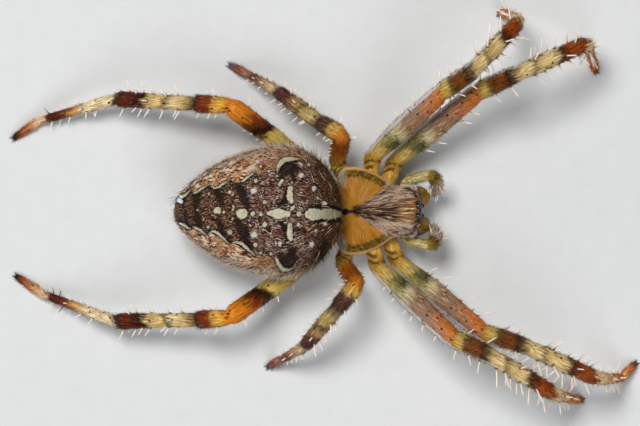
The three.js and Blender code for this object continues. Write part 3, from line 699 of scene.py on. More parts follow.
def abdomen_marks(points):
    """The notes that skin and hair share: distances to the marks, in millimetres."""
    x, y, places = points[:, 0], points[:, 1], points[:, :2]
    above = points[:, 2] > abdomen_middle(x) - 0.3
    leaf = [np.interp(x, *np.transpose(side)) for side in (leaf_left, leaf_right)]
    cream = inside(places, bars + scallop_lines + [[spot] for spot in pale_spots])
    far_out = -1.0
    return {
        "cream": np.where(above, cream, inside(places, belly_marks)),
        "faint": np.where(above, inside(places, [[spot] for spot in faint_spots]), far_out),
        "black": np.where(above, inside(places, black_lines), far_out),
        "dark": np.where(above, inside(places, dark_bands), inside(places, belly_field)),
        "leaf": np.where(above, np.where(y > 0, *leaf) - np.abs(y), 1.5 * far_out),
        "height": (points[:, 2] - abdomen_middle(x)) / abdomen_half_height,
        "place": points,
    }


note(abdomen_skin, abdomen_marks(abdomen_points))
print("notes", list(abdomen_marks(abdomen_points[:1])))

# %% [markdown]
# ## The abdomen's colours
# Inside the leaf the skin is maroon in front and chocolate behind, outside it is tan and
# orange with pale and dark flecks, darker low down, and the front slope turns olive brown.
# One group does all of it from the notes, and also says how light the hair is there, so the
# skin and every hair on it agree. The grain swirls a little, as the lie of the hair does.

# %% The group of markings
mark_labels = ("Cream", "Faint", "Black", "Dark", "Leaf", "Height")
markings, inlet, finish = group(
    "abdomen markings",
    {**{label: "Float" for label in mark_labels}, "Place": "Vector"},
    {"Colour": "Color", "Wool": "Color", "Cream": "Float"},
)
net, place = markings, inlet["Place"]
ahead = net.axis(place, "X")
flow = net.swirled(place, 0.9, 0.7)
line = net.noise(flow, (0.45, 0.055, 0.055), 2.0)
fleck = net.noise(flow, (0.5, 0.11, 0.11), 3.0)
fine = net.noise(place, (0.10, 0.06, 0.06), 3.0)
soft = net.noise(place, (0.8, 0.6, 0.6), 2.0)
ragged = net.sway(place, (0.10, 0.10, 0.10), 0.14)
patchy = net.times(net.step(soft, 0.46, 0.60), 0.6)
rearmost = net.step(ahead, -3.6, -5.0)
print("noises over the abdomen", len(net.tree.nodes), "nodes")

# %% Inside the leaf
maroon = net.ramp(
    line, (0.39, "0c0503"), (0.46, "2b140b"), (0.52, "502d20"), (0.585, "8c6e5e"), (0.67, "e4d6cc"),
)
rusty = net.ramp(fine, (0.40, "140603"), (0.5, "481c0c"), (0.63, "8a4e2a"))
brown = net.ramp(
    line, (0.40, "090302"), (0.47, "261008"), (0.53, "4e2914"), (0.60, "885c3c"), (0.69, "d6bca4"),
)
inner = net.mix(rearmost, net.mix(patchy, maroon, rusty), brown)
print("leaf, up to", len(net.tree.nodes), "nodes")

# %% The flank and the leaf's edge
flank = net.ramp(
    fleck, (0.38, "140804"), (0.44, "4c2610"), (0.49, "905426"),
    (0.53, "b98656"), (0.59, "d2b086"), (0.67, "f0e0ca"),
)
flank = net.mix(patchy, flank, net.mix(line, "743408", "d08838"))
tuft = net.step(net.noise(flow, (0.9, 0.26, 0.26), 2.0), 0.52, 0.60)
flank = net.mix(net.times(tuft, 0.7), flank, "f2e2ca")
flank = net.mix(net.step(net.cells(place, (0.42, 0.26, 0.26)), 0.32, 0.22), flank, "160904")
reddish = net.ramp(line, (0.38, "2c1208"), (0.46, "6c3a1c"), (0.55, "9c663e"), (0.68, "d2ae88"))
near_leaf = net.times(net.step(ahead, -4.4, -3.2), net.step(inlet["Leaf"], -1.1, -0.4))
flank = net.mix(near_leaf, flank, reddish)
low = net.plus(inlet["Height"], net.sway(place, (0.7, 0.4, 0.4), 1.3))
flank = net.mix(net.times(net.step(low, 0.30, 0.16), 0.9), flank, net.mix(fine, "0c0908", "3c2e26"))
leaf_edge = net.plus(inlet["Leaf"], ragged)
base = net.mix(net.step(leaf_edge, -0.05, 0.07), flank, inner)
lining = net.span(leaf_edge, -0.02, 0.05, 0.12, 0.28)
base = net.mix(net.times(lining, net.step(ahead, -3.4, -4.4), 0.85), base, "0c0604")
print("flank, up to", len(net.tree.nodes), "nodes")

# %% Front slope, dark marks and belly
front = net.step(net.plus(ahead, net.sway(place, (0.8, 0.6, 0.6), 1.6)), -1.7, 0.3)
olive = net.ramp(line, (0.41, "0c0503"), (0.50, "30180a"), (0.58, "5c381c"), (0.70, "a67e50"))
base = net.mix(front, base, olive)
rust_dot = net.step(net.cells(place, (0.6, 0.6, 0.6)), 0.22, 0.12)
base = net.mix(net.times(rust_dot, net.step(ahead, -3.4, -2.6), 0.8), base, "562010")
torn = net.plus(ragged, ragged)
faint_cut = net.times(net.step(net.plus(inlet["Faint"], torn), -0.05, 0.05), 0.85)
base = net.mix(faint_cut, base, "d8d0ca")
soft_part = net.times(net.step(ahead, -3.2, -2.8), net.step(net.size(net.axis(place, "Y")), 2.0, 1.6))
dark_cut = net.step(net.plus(inlet["Dark"], torn), -0.15, 0.04)
dark_cut = net.times(dark_cut, net.step(soft_part, 0.0, 1.0, 0.94, 0.5))
base = net.mix(dark_cut, base, net.mix(fine, "060302", "28120a"))
halo = net.times(net.step(inlet["Cream"], -0.14, -0.03), 0.7)
black_cut = net.step(net.plus(inlet["Black"], net.times(ragged, 0.6)), -0.03, 0.03)
black_cut = net.sum("MAXIMUM", black_cut, halo)
base = net.mix(net.times(black_cut, 0.94), base, "0c0605")
belly = net.ramp(fleck, (0.35, "2a1f18"), (0.5, "5e4636"), (0.62, "96785c"), (0.72, "c2a988"))
below = net.step(inlet["Height"], -0.25, -0.5)
base = net.mix(below, base, net.mix(net.step(inlet["Dark"], -0.15, 0.15), belly, "201612"))
print("dark marks, up to", len(net.tree.nodes), "nodes")

# %% Cream marks and the light of the hair
chipped = net.sway(place, (0.11, 0.09, 0.09), 0.16)
cream_cut = net.step(net.plus(inlet["Cream"], chipped), -0.012, 0.02)
crystals = net.cells(place, (0.085, 0.085, 0.085))
chalk = net.ramp(crystals, (0.0, "dcd8c4"), (0.7, "aca68a"))
chalk = net.mix(net.times(net.step(ahead, -0.9, 0.9), 0.8), chalk, "7c7a5a")
# Painted highlight: the spot at the rear tip turns bluish white.
chalk = net.mix(net.step(ahead, -8.15, -8.3), chalk, "e2e8ea")
base = net.mix(cream_cut, base, chalk)
wool = net.mix(net.step(leaf_edge, -0.05, 0.1), "ead6c2", net.mix(rearmost, "c8b6aa", "a68a70"))
wool = net.mix(front, wool, "7e6438")
wool = net.mix(net.sum("MAXIMUM", dark_cut, black_cut), wool, "22120a")
finish(Colour=base, Wool=net.mix(cream_cut, wool, chalk), Cream=cream_cut)
print("markings take", len(net.tree.nodes), "nodes")


# %% The abdomen's skin
def abdomen_colours(net):
    feeds = {label: net.note(label.lower()) for label in mark_labels}
    return net.use(markings.tree, {**feeds, "Place": net.spot()})


def abdomen_skin_recipe(net):
    marks, place = abdomen_colours(net), net.spot()
    height = net.plus(net.noise(place, (0.1, 0.06, 0.06), 3.0), net.times(marks["Cream"], 0.5))
    height = net.less(height, net.times(net.cells(place, (0.12, 0.12, 0.12)), 0.4))
    return marks["Colour"], net.step(marks["Cream"], 0.0, 1.0, 0.62, 0.45), height


abdomen_material = material("abdomen skin", abdomen_skin_recipe, relief=0.05)
dress(abdomen_skin, abdomen_material, "abdomen", "abdomen")
print("abdomen wears", abdomen_material.name)

# %% [markdown]
# ## The abdomen's coat
# Short hair lies back over the whole abdomen in swirls, thinner on the pale spots. Paler and
# thicker hair stands among it in loose tufts. A fringe of longer straw-coloured hair stands
# out all round, and on the front slope a few dozen long pale bristles curve over the rest.


# %% Abdomen hair
def swirl(lie, out, angle):
    """Turns lie directions round the outward ones by an angle for each."""
    angle = np.asarray(angle)[:, None]
    return lie * np.cos(angle) + np.cross(out, lie) * np.sin(angle)


def around_abdomen(x, turn):
    """The skin's place at a distance along and a turn round, with both ends left out."""
    x = np.clip(x, abdomen_rear + 0.01, abdomen_front - 0.01)
    return abdomen_point(x, np.interp(x, *abdomen_line.T), turn)


missing_on_cream = 0.85


def abdomen_coat(name, count, seed, length, radius, lean, scatter, pale, allowed):
    """Hair on random even roots that lies towards the rear, lifted by its lean in degrees."""
    random = np.random.default_rng(seed)
    at, turn = scattered(random, abdomen_line, count, math.pi)
    x = abdomen_line[at, 0]
    good = allowed(x, turn)
    x, turn, at = x[good], turn[good], at[good]
    roots = around_abdomen(x, turn)
    marks = abdomen_marks(roots)
    bare = (marks["cream"] > 0) & (random.random(len(x)) < missing_on_cream)
    keep = {label: values[~bare] for label, values in marks.items()}
    x, turn, at, roots = x[~bare], turn[~bare], at[~bare], roots[~bare]
    keep["pale"] = pale + 0.22 * eased(keep["leaf"], 0.1, -0.3) - 0.2 * eased(x, -1.5, 0.3)
    ahead = around_abdomen(x + 0.02, turn) - around_abdomen(x - 0.02, turn)
    around = around_abdomen(x, turn + 0.01) - around_abdomen(x, turn - 0.01)
    out = unit(np.cross(around, ahead))
    out *= np.sign(np.sum(out * (roots - abdomen_heart), axis=1))[:, None]
    lie = swirl(unit(-ahead), out, 1.1 * wander(roots, 0.9, 9))
    lie = unit(lie + jitter(random, out, scatter))
    ways = leaning(lie, out, random.normal(lean, 9, len(roots)))
    sag = -out * random.uniform(0.05, 0.3, len(roots))[:, None] + jitter(random, roots, 0.13)
    unwrap = 0.02 + 0.96 * columns(turn / (2 * math.pi) + 0.5, at / len(abdomen_line))
    lengths = length * random.uniform(0.6, 1.3, len(roots))
    print(name, len(roots), "hairs")
    return grow(name, roots - out * 0.03, ways, lengths, radius, sag, seed, keep, unwrap)


def coat_recipe(net):
    marks, own = abdomen_colours(net), net.note("own")
    tone = net.scaled(marks["Colour"], net.step(own, 0.0, 0.8, 0.3, 1.4))
    is_pale = net.step(net.plus(own, net.note("pale")), 0.95, 1.05)
    return net.mix(is_pale, tone, marks["Wool"])


def in_tufts(x, turn):
    """True where the pale hair stands: in loose tufts, fewer at the rear and the front slope."""
    places = around_abdomen(x, turn)
    least = 0.05 - 0.08 * np.clip(x + 4.4, -3, 0) + 0.35 * eased(x, -1.2, 0.2) - 0.1 * np.abs(turn)
    return (np.abs(turn) < 1.5) & (wander(places, 0.45, 17) > least)


def between(low, high):
    """A rule that is true for turns between two, on either side of the animal."""
    return lambda x, turn: (np.abs(turn) > low) & (np.abs(turn) < high)


# For each coat: how many hairs, seed, length, radius, lean, scatter, share of pale and where.
abdomen_coats = {
    "abdomen_hair_back": (19000, 11, 0.30, 0.011, 76, 0.2, 0.12, between(-1, 1.35)),
    "abdomen_hair_side": (16000, 14, 0.32, 0.011, 68, 0.25, 0.3, between(1.05, 4)),
    "abdomen_hair_pale": (11000, 15, 0.38, 0.015, 81, 0.22, 2.0, in_tufts),
    "abdomen_fringe": (4600, 12, 0.75, 0.011, 42, 0.35, 0.8, between(1.15, 1.95)),
}
coat_material = material("abdomen hair", coat_recipe, roughness=0.55)
for name, coat in abdomen_coats.items():
    dress(abdomen_coat(name, *coat), coat_material, "abdomen")

# %% Front bristles
bristle_count, bristle_seed, bristle_radius = 90, 13, 0.020
random = np.random.default_rng(bristle_seed)
x = random.uniform(-0.9, 1.15, bristle_count)
roots = around_abdomen(x, random.uniform(-1.45, 1.45, bristle_count))
out = unit(roots - [-1.2, 0, 4.6])
lie = unit(np.cross(out, [0, 0, 1.0]) * np.sign(roots[:, 1:2]) * -1 + [-0.6, 0, 0.2])
ways = lie + out * 0.45 + jitter(random, roots, 0.3)
lengths = random.uniform(0.55, 1.05, bristle_count)
sag = jitter(random, roots, 0.2) - out * 0.25
bristles = grow(
    "abdomen_bristles", roots - out * 0.03, ways, lengths, bristle_radius, sag, bristle_seed,
    unwrap=random.uniform(0.05, 0.95, (bristle_count, 2)), bends=4,
)


def own_tones(dark, light):
    """A recipe that gives every hair its own tone between two."""
    return lambda net: net.mix(net.note("own"), dark, light)


straw_material = material("straw bristle", own_tones("cfc096", "efe6d0"), roughness=0.45)
dress(bristles, straw_material, "abdomen")
print("bristles", bristle_count)

# %% [markdown]
# ## Under the abdomen
# Below, two smooth lung covers lie beside the waist, and between them the mature female's
# plate carries a short wrinkled tongue that points back.

# %% Lung covers and plate
ball = [
    (-1, 0), (-0.924, 0.383), (-0.707, 0.707), (-0.383, 0.924), (0, 1),
    (0.383, 0.924), (0.707, 0.707), (0.924, 0.383), (1, 0),
]


def turned_form(outline, shape, rings, sides):
    """Points and faces of a closed body: an outline turned, then shaped by a rule."""
    rows = smooth_line(outline, rings + 2)
    rows[:, 1] = np.maximum(rows[:, 1], 0)
    inner = rows[1:-1]
    turn = np.linspace(-math.pi, math.pi, sides, endpoint=False)
    x, radius = np.repeat(inner[:, 0], sides), np.repeat(inner[:, 1], sides)
    body = shape(x, radius, np.tile(turn, rings))
    tips = [shape(row[:1], np.zeros(1), np.zeros(1)) for row in (rows[0], rows[-1])]
    return (join([body, *tips]), *tube_faces(rings, sides))


def round_form(middle, scale, rings=30, sides=40, outline=ball):
    """A round body from its middle and its half sizes."""
    def shape(x, radius, turn):
        return columns(x, radius * np.sin(turn), radius * np.cos(turn)) * scale + middle
    return turned_form(outline, shape, rings, sides)


def together(forms):
    """Joins closed forms into one list of points and faces."""
    starts = np.cumsum([0] + [len(points) for points, _, _ in forms])
    moved = [(points, quads + start, ends + start) for (points, quads, ends), start in zip(forms, starts)]
    return tuple(join(arrays) for arrays in zip(*moved))


def placed_piece(name, forms):
    """One mesh of closed forms that notes its own places."""
    points, *faces = together(forms)
    piece = mesh_piece(name, points, *faces)
    note(piece, {"place": points})
    return piece


def belly_z(x, y):
    """The height of the belly's skin at a place."""
    radius = np.interp(x, *abdomen_line.T)
    return abdomen_middle(x) - 0.88 * math.sqrt(radius**2 - y**2)


plate_forms = [round_form((-0.05, y, belly_z(-0.05, y) + 0.1), (0.5, 0.42, 0.18)) for y in (0.95, -0.95)]
plate_forms += [
    round_form((-0.5, 0, belly_z(-0.5, 0) + 0.06), (0.34, 0.42, 0.2)),
    round_form((-0.72, 0, belly_z(-0.72, 0) - 0.06), (0.36, 0.12, 0.09)),
]


def plate_recipe(net):
    place = net.spot()
    return mottled(net, place, net.mix(net.noise(place, (0.3, 0.1, 0.2)), "2a160c", "7c5632"), 0.5, 0.5)


plate_material = material("belly plate", plate_recipe, roughness=0.35, relief=0.02)
dress(placed_piece("belly_plates", plate_forms), plate_material, "abdomen")
print("belly plates", len(plate_forms))

# %% [markdown]
# ## Shield and breastplate
# The thorax is a firm pear-shaped shield over a flat breastplate, which carries the legs.
# A pit marks the middle of its back, furrows run out from it to the legs, and the narrow
# raised head sits in front between two furrows. A slim waist joins it to the abdomen. All
# of that is one skin here, made of closed forms that run into each other.

# %% Shield form
shield_outline = [
    (0.95, 0), (0.98, 1.55), (1.32, 2.46), (2.1, 2.65), (3.05, 2.43), (3.9, 1.94),
    (4.5, 1.53), (5.5, 1.47), (5.95, 1.12), (6.06, 0.5), (6.07, 0),
]
shield_heights = [(0.9, 3.3), (1.7, 4.0), (3.1, 4.5), (4.6, 4.95), (5.6, 4.85), (6.07, 4.45)]
shield_ridge = smooth_line(shield_heights, 200)
shield_line = smooth_line(shield_outline, 800)
shield_line[:, 1] = np.maximum(shield_line[:, 1], 0)
pit_x, head_start = 2.05, 4.0


def shield_point(x, radius, turn):
    """A point of the shield's skin: dome, pit, furrows and the ray of low spokes."""
    across, rise = np.sin(turn), np.cos(turn)
    head = eased(x, head_start, 5.2)
    rim = 3.15 + head * 0.5
    y = radius * across
    dome = np.maximum(rise, 0) ** (0.85 - 0.2 * head)
    pit = 0.32 * bump(x - pit_x, 0.42) * bump(y, 0.3)
    furrow_y = 0.3 + 0.55 * (x - 2.3)
    fade = eased(x, 2.2, 2.9) * (1 - eased(x, 4.1, 4.7))
    furrow = 0.14 * fade * bump(np.abs(y) - furrow_y, 0.2)
    aim, reach = np.arctan2(np.abs(y), x - pit_x), np.hypot(x - pit_x, y)
    spokes = sum(bump(aim - spoke, 0.13) for spoke in (0.95, 1.5, 2.1))
    spokes = 0.045 * spokes * eased(reach, 0.5, 1.1) * (1 - eased(reach, 1.7, 2.4))
    ridge = np.interp(x, *shield_ridge.T)
    lip = 0.05 * bump(rise - 0.06, 0.06)
    top = rim + (ridge - rim) * dome - pit - furrow - spokes + lip
    return columns(x, y, np.where(rise > 0, top, rim + rise * 0.12))


def breastplate_point(x, radius, turn):
    rise = np.cos(turn)
    z = 2.45 + 0.68 * np.sign(rise) * np.abs(rise) ** 0.8 * np.minimum(1, radius)
    return columns(x, radius * np.sin(turn), z)


breastplate_outline = [(1.42, 0), (1.55, 0.75), (2.4, 1.16), (3.5, 1.12), (4.0, 0.62), (4.08, 0)]
waist_outline = [
    (-0.45, 0), (-0.4, 0.3), (0.2, 0.3), (0.8, 0.36), (1.5, 0.34), (2.2, 0.4), (2.25, 0),
]
waist_height = 2.32
thorax_forms = [
    turned_form(shield_outline, shield_point, 170, 220),
    round_form((2.75, 0, 3.0), (1.3, 1.1, 0.75)),
    turned_form(breastplate_outline, breastplate_point, 50, 64),
    round_form((0, 0, waist_height), (1, 1, 1), 40, 40, waist_outline),
]
thorax_skin = placed_piece("thorax_skin", thorax_forms)
thorax_points = together(thorax_forms)[0]
print("thorax", faces_of(thorax_skin), "triangles")

# %% [markdown]
# ## The shield's colours
# The shield is clear amber with a fine grain that rays out from the pit. An olive band runs
# inside its pale rim, with a jagged inner edge. The head is darker, a dark mark sits behind
# the pit, and a thin black line edges the front. The breastplate below is brown with a
# yellow middle.

# %% Shield notes and material
dark_line = [
    (1.36, -0.04, 0.1), (1.54, -0.05, 0.2), (1.74, -0.04, 0.07), (2.0, -0.03, 0.09), (2.5, -0.05, 0.13),
]
head_edge = [
    (5.2, 1.36, 0.02), (5.5, 1.3, 0.05), (5.8, 1.08, 0.06), (5.88, 0.7, 0.05), (5.95, 0.3, 0.12),
    (6.0, 0, 0.05), (5.95, -0.3, 0.12), (5.9, -0.8, 0.05), (5.75, -1.2, 0.06), (5.4, -1.38, 0.03),
]
# Half the width of the head's wedge at each distance along.
wedge_widths = [
    (1.9, 0.03), (2.3, 0.3), (3.0, 0.72), (3.57, 1.1), (4.0, 1.42), (4.6, 1.72), (6.2, 1.75),
]


def head_inside(points):
    """How far a place lies inside the wedge of the head, seen from above."""
    return np.interp(points[:, 0], *np.transpose(wedge_widths)) - np.abs(points[:, 1])


def thorax_notes(points):
    """The notes that skin and hair share; rays are how far from the pit, and which way."""
    x, y = points[:, 0], points[:, 1]
    edge = 3.12 + 0.42 * eased(x, 4.4, 5.2)
    rays = [np.hypot(x - pit_x, y), np.arctan2(np.abs(y), x - pit_x), np.tanh(y / 0.1)]
    return {
        "rim": np.interp(x, *shield_line.T) - np.abs(y),
        "head": head_inside(points),
        "below": eased(points[:, 2], edge + 0.08, edge - 0.07),
        "black": inside(points[:, :2], [head_edge, dark_line]),
        "rays": columns(*rays),
    }


note(thorax_skin, thorax_notes(thorax_points))


def thorax_recipe(net):
    place, rays = net.spot(), net.spot("rays")
    ahead, across = net.axis(place, "X"), net.size(net.axis(place, "Y"))
    ray = net.noise(rays, (0.8, 0.05, 1.0), 3.0)
    cloud = net.noise(place, (0.7, 0.5, 0.5), 2.0)
    amber = net.ramp(ray, (0.34, "8e5a18"), (0.46, "a0691e"), (0.56, "a87229"), (0.68, "b6863a"))
    amber = net.mix(net.times(net.step(cloud, 0.42, 0.62), 0.6), amber, "a06c1a")
    jagged = net.plus(net.sway(rays, (1.0, 0.08, 1.0), 0.34), net.sway(place, (0.2, 0.12, 0.12), 0.3))
    inner_edge = net.step(net.plus(net.note("rim"), jagged), 0.74, 0.56)
    outer_edge = net.step(net.plus(net.note("rim"), net.times(jagged, 0.25)), 0.08, 0.24)
    band = net.times(inner_edge, outer_edge, net.step(ahead, 4.5, 4.0), 0.92)
    blotch = net.noise(place, (0.22, 0.16, 0.16), 3.0)
    olive = net.ramp(blotch, (0.34, "30260a"), (0.5, "594612"), (0.66, "8c7028"))
    tone = net.mix(net.step(net.note("rim"), 0.30, 0.14), amber, "dcaa60")
    tone = net.mix(band, tone, olive)
    corner = net.times(net.step(across, 1.2, 1.9), net.step(ahead, 1.75, 1.2), 0.6)
    tone = net.mix(corner, tone, "a8a098")
    wedge = net.step(net.plus(net.note("head"), net.times(jagged, 0.25)), -0.08, 0.12)
    streak = net.noise(rays, (0.9, 0.035, 1.0), 2.0)
    head = net.ramp(streak, (0.38, "0c0808"), (0.46, "442a1c"), (0.54, "885a36"), (0.66, "c4a080"))
    head = net.mix(net.times(net.step(ahead, 4.4, 5.3), net.step(across, 0.9, 0.4)), head, "a8703c")
    line = net.step(net.size(across, 0.13), 0.07, 0.03)
    head = net.mix(net.times(line, net.step(ahead, 4.6, 5.1)), head, "ecd0a0")
    tone = net.mix(wedge, tone, head)
    black = net.step(net.plus(net.note("black"), net.times(jagged, 0.3)), -0.06, 0.03)
    tone = net.mix(black, tone, "140807")
    under = net.mix(net.noise(place, (0.3, 0.2, 0.2), 3.0), "4a2e18", "80562a")
    stripe = net.step(net.plus(across, net.times(jagged, 0.5)), 0.34, 0.18)
    under = net.mix(net.times(stripe, net.step(ahead, 1.4, 1.8)), under, "c8a03c")
    return mottled(net, place, net.mix(net.note("below"), tone, under), 0.15, 0.35)


shield_material = material("amber shield", thorax_recipe, roughness=0.42, relief=0.02)
dress(thorax_skin, shield_material, "carapace", "cephalothorax", "pedicel")

# %% [markdown]
# ## The head's hair
# The wedge of the head wears long tan and cream hair that points back to the pit, like the
# grain of a combed coat. Dark strands are strongest along the middle and on the front edge.
# Paler, shorter hair stands on the shield's rear corners and thinly along its rim.


# %% Shield hair
def shield_coat(name, count, seed, length, radius, lean, allowed, aim):
    """Hair on the shield that leans the way the aim gives, where the rule allows it."""
    random = np.random.default_rng(seed)
    at, turn = scattered(random, shield_line, count, 1.5)
    x, radius_here = shield_line[at].T
    roots = shield_point(x, radius_here, turn)
    good = allowed(roots, random)
    x, radius_here, turn, at, roots = x[good], radius_here[good], turn[good], at[good], roots[good]
    step_x = np.clip(x + 0.02, 0.96, 6.06)
    ahead = shield_point(step_x, np.interp(step_x, *shield_line.T), turn) - roots
    around = shield_point(x, radius_here, turn + 0.01) - roots
    out = unit(np.cross(around, ahead))
    out *= np.sign(out[:, 2] + 1e-6)[:, None]
    towards = unit(aim(roots) + jitter(random, roots, 0.10))
    towards = unit(towards - out * np.sum(towards * out, axis=1, keepdims=True))
    ways = leaning(towards, out, random.normal(lean, 6, len(roots)))
    sag = -out * random.uniform(0.1, 0.3, len(roots))[:, None] + jitter(random, roots, 0.06)
    rays = thorax_notes(roots)["rays"] * [0.5, 19.0, 1.0]
    dark = 0.42 * bump(roots[:, 1], 0.42) * (1 - 0.8 * eased(roots[:, 0], 4.4, 5.2))
    dark = dark + 0.6 * eased(inside(roots[:, :2], [head_edge]), -0.04, 0.03)
    pale = 0.2 * eased(np.abs(roots[:, 1]), 0.4, 0.9)
    keep = {"place": roots, "shade": 0.55 + 0.8 * wander(rays, 0.32, 21) - dark + pale}
    unwrap = columns(0.05 + 0.9 * (turn / 3 + 0.5), 0.02 + 0.96 * at / len(shield_line))
    lengths = length * random.uniform(0.6, 1.3, len(roots))
    print(name, len(roots), "hairs")
    return grow(name, roots - out * root_depth, ways, lengths, radius, sag, seed, keep, unwrap, 3)


def on_head(roots, random):
    thin = 0.55 * eased(roots[:, 0], 4.2, 4.8) * eased(np.abs(roots[:, 1]), 1.0, 0.7)
    full = (head_inside(roots) > -0.04) & (roots[:, 0] > 2.0) & (roots[:, 0] < 6.0)
    return full & (random.random(len(roots)) > thin)


def near_rim(roots, random):
    corner = (roots[:, 0] < 1.6) & (np.abs(roots[:, 1]) > 1.3)
    thick = np.where(corner, 0.35, np.where(thorax_notes(roots)["rim"] < 0.2, 0.16, 0.01))
    return (head_inside(roots) < -0.02) & (random.random(len(roots)) < thick)


def head_hair_recipe(net):
    shade = net.plus(net.note("shade"), net.times(net.less(net.note("own"), 0.5), 0.45))
    return net.ramp(
        shade, (0.16, "0a0809"), (0.32, "3c2c26"), (0.47, "906e54"), (0.62, "d0a88a"), (0.85, "ecd8c4"),
    )


pale_hair_material = material("pale hair", own_tones("b0a088", "eee6d8"), roughness=0.5)
head_hair_material = material("head hair", head_hair_recipe, roughness=0.5)
for side, sign, seed in (("left", 1, 31), ("right", -1, 33)):
    head_hair = shield_coat(
        f"head_hair_{side}", 15000, seed, 0.55, 0.012, 79,
        lambda roots, random: on_head(roots, random) & (roots[:, 1] * sign > 0),
        lambda roots: np.array([1.7, 0, 3.9]) - roots,
    )
    dress(head_hair, head_hair_material, "carapace")
rim_hair = shield_coat(
    "thorax_hair", 9000, 32, 0.22, 0.009, 66, near_rim, lambda roots: roots - [2.1, 0, 3.0],
)
dress(rim_hair, pale_hair_material, "carapace")

# %% [markdown]
# ## Eyes
# Eight small eyes sit on dark knobs along the front of the head. Each is a glossy bead, so
# it is a ball with a clear coat over near-black, in a raised ring.

# %% Eye beads
# For each pair: how far ahead, aside and up it stands, and the radius of the bead.
eye_places = {
    "eye_front_middle": (6.1, 0.3, 4.22, 0.17),
    "eye_rear_middle": (5.88, 0.3, 4.68, 0.17),
    "eye_front_side": (5.8, 1.2, 4.0, 0.14),
    "eye_rear_side": (5.55, 1.33, 4.22, 0.14),
}


def eye_recipe(net):
    # Painted sheen: each bead is a little lighter where it turns away from the camera.
    facing = net.knot("LayerWeight", {"Blend": 0.35}).outputs["Facing"]
    deep = net.mix(net.noise(net.spot(), (0.06, 0.06, 0.06)), "040303", "120b08")
    return net.mix(facing, deep, "1e1410")


eye_material = material(
    "eye bead", eye_recipe, roughness=0.06, Specular_IOR_Level=0.5, Coat_Weight=1.0, Coat_Roughness=0.03,
)
knob_outline = [(-0.1, 0), (-0.1, 1.25), (0.0, 1.32), (0.18, 1.16), (0.22, 1.0), (0.1, 0.9), (0.05, 0)]
sides = (("left", 1), ("right", -1))
for (label, (x, y, z, radius)), (side, sign) in product(eye_places.items(), sides):
    centre = np.array([x, y * sign, z])
    eye = placed_piece(f"{label}_bead_{side}", [round_form(centre, (radius,) * 3, 24, 32)])
    dress(eye, eye_material, "eye", f"{label}_{side}")
    look = unit(centre - [5.2, 0.35 * sign, 4.1])
    aside = unit(np.cross([0, 0, 1.0], look))
    ring, *faces = round_form((0, 0, 0), (radius,) * 3, 26, 32, knob_outline)
    ring = ring @ np.array([look, aside, np.cross(look, aside)]) + centre
    dress(placed_piece(f"{label}_knob_{side}", [(ring, *faces)]), eye_material, "carapace")
print("eyes", len(eye_places) * 2)

# %% [markdown]
# ## Jaws, fangs and mouth
# Two stout jaws hang from the front of the head, smooth and olive amber, with a dark fang
# folded under each. Behind them a lip and two pale-edged plates close the mouth.


# %% Jaws
def jaw_recipe(net):
    place = net.spot()
    top = net.mix(net.noise(place, (0.5, 0.5, 0.5), 2.0), "644203", "a0720c")
    # Painted shade: the jaw is darker at the back, where it goes in under the head's front edge.
    top = net.mix(net.times(net.step(net.axis(place, "X"), 6.1, 5.8), 0.8), top, "33220a")
    tone = net.mix(net.step(net.axis(place, "Z"), 2.2, 1.3), top, "40200e")
    return mottled(net, place, tone, 0.2, 0.1)


def fang_recipe(net):
    return net.mix(net.noise(net.spot(), (0.2, 0.2, 0.2)), "120604", "42180a")


jaw_material = material(
    "smooth jaw", jaw_recipe, 0.36, 0.006,
    Specular_IOR_Level=0.18, Coat_Weight=0.05, Coat_Roughness=0.2,
)
fang_material = material("fang", fang_recipe, roughness=0.15, Specular_IOR_Level=0.5, Coat_Weight=0.6)
jaw_outline = [
    (-0.35, 0), (-0.3, 0.25), (0.1, 0.42), (0.55, 0.58), (1.3, 0.52), (1.8, 0.4), (2.06, 0.2), (2.1, 0),
]
fang_outline = [(-0.12, 0), (-0.1, 0.17), (0.04, 0.19), (0.4, 0.13), (0.8, 0.03), (0.83, 0)]
fang_heading, fang_clearance = 2.2, 0.2
for side, sign in sides:
    def jaw_point(x, radius, turn, sign=sign):
        rise = np.cos(turn)
        boss = 0.05 * bump(x - 0.35, 0.2) * bump(turn - sign * 1.4, 0.5)
        forward = radius * rise * 0.68 / 0.58 + 0.10 * bump(x - 0.6, 0.5) * np.maximum(rise, 0)
        aside = radius * np.sin(turn) * 0.66 / 0.58 + boss * np.sin(turn)
        return columns(5.86 + forward, 0.82 * sign + aside, 3.32 - x)

    def fang_point(x, radius, turn, sign=sign):
        curl = 0.15 * (1 - (x / 0.8) ** 2)
        cosine, sine = math.cos(-fang_heading * sign), math.sin(-fang_heading * sign)
        aside, rise = radius * np.sin(turn), radius * np.cos(turn) - curl
        ahead, across = 5.98 + x * cosine - aside * sine, 0.94 * sign + x * sine + aside * cosine
        return columns(ahead, across, 0.94 + rise)

    points, quads, triangles = turned_form(jaw_outline, jaw_point, 60, 64)
    jaw = placed_piece(f"jaw_{side}", [(points, quads[:, ::-1], triangles[:, ::-1])])
    dress(jaw, jaw_material, "chelicera", f"chelicera_{side}")
    points, *faces = turned_form(fang_outline, fang_point, 40, 24)
    points[:, 2] = np.maximum(points[:, 2], fang_clearance)
    fang = placed_piece(f"fang_hook_{side}", [(points, *faces)])
    dress(fang, fang_material, "fang", f"fang_{side}")


# %% Mouth
def mouth_recipe(net):
    place = net.spot()
    tone = net.mix(net.step(net.axis(place, "X"), 4.75, 5.1), "58361a", "ceb070")
    return mottled(net, place, tone, 0.5, 0.4)


mouth_forms = [round_form((4.76, sign * 0.42, 2.5), (0.45, 0.40, 0.54)) for _, sign in sides]
mouth_forms.append(round_form((4.45, 0, 2.36), (0.42, 0.36, 0.42)))
mouth = placed_piece("mouth_plates", mouth_forms)
dress(mouth, material("mouth plates", mouth_recipe, 0.4, 0.015), "chelicera", "mouthparts")
print("jaws and mouth done")

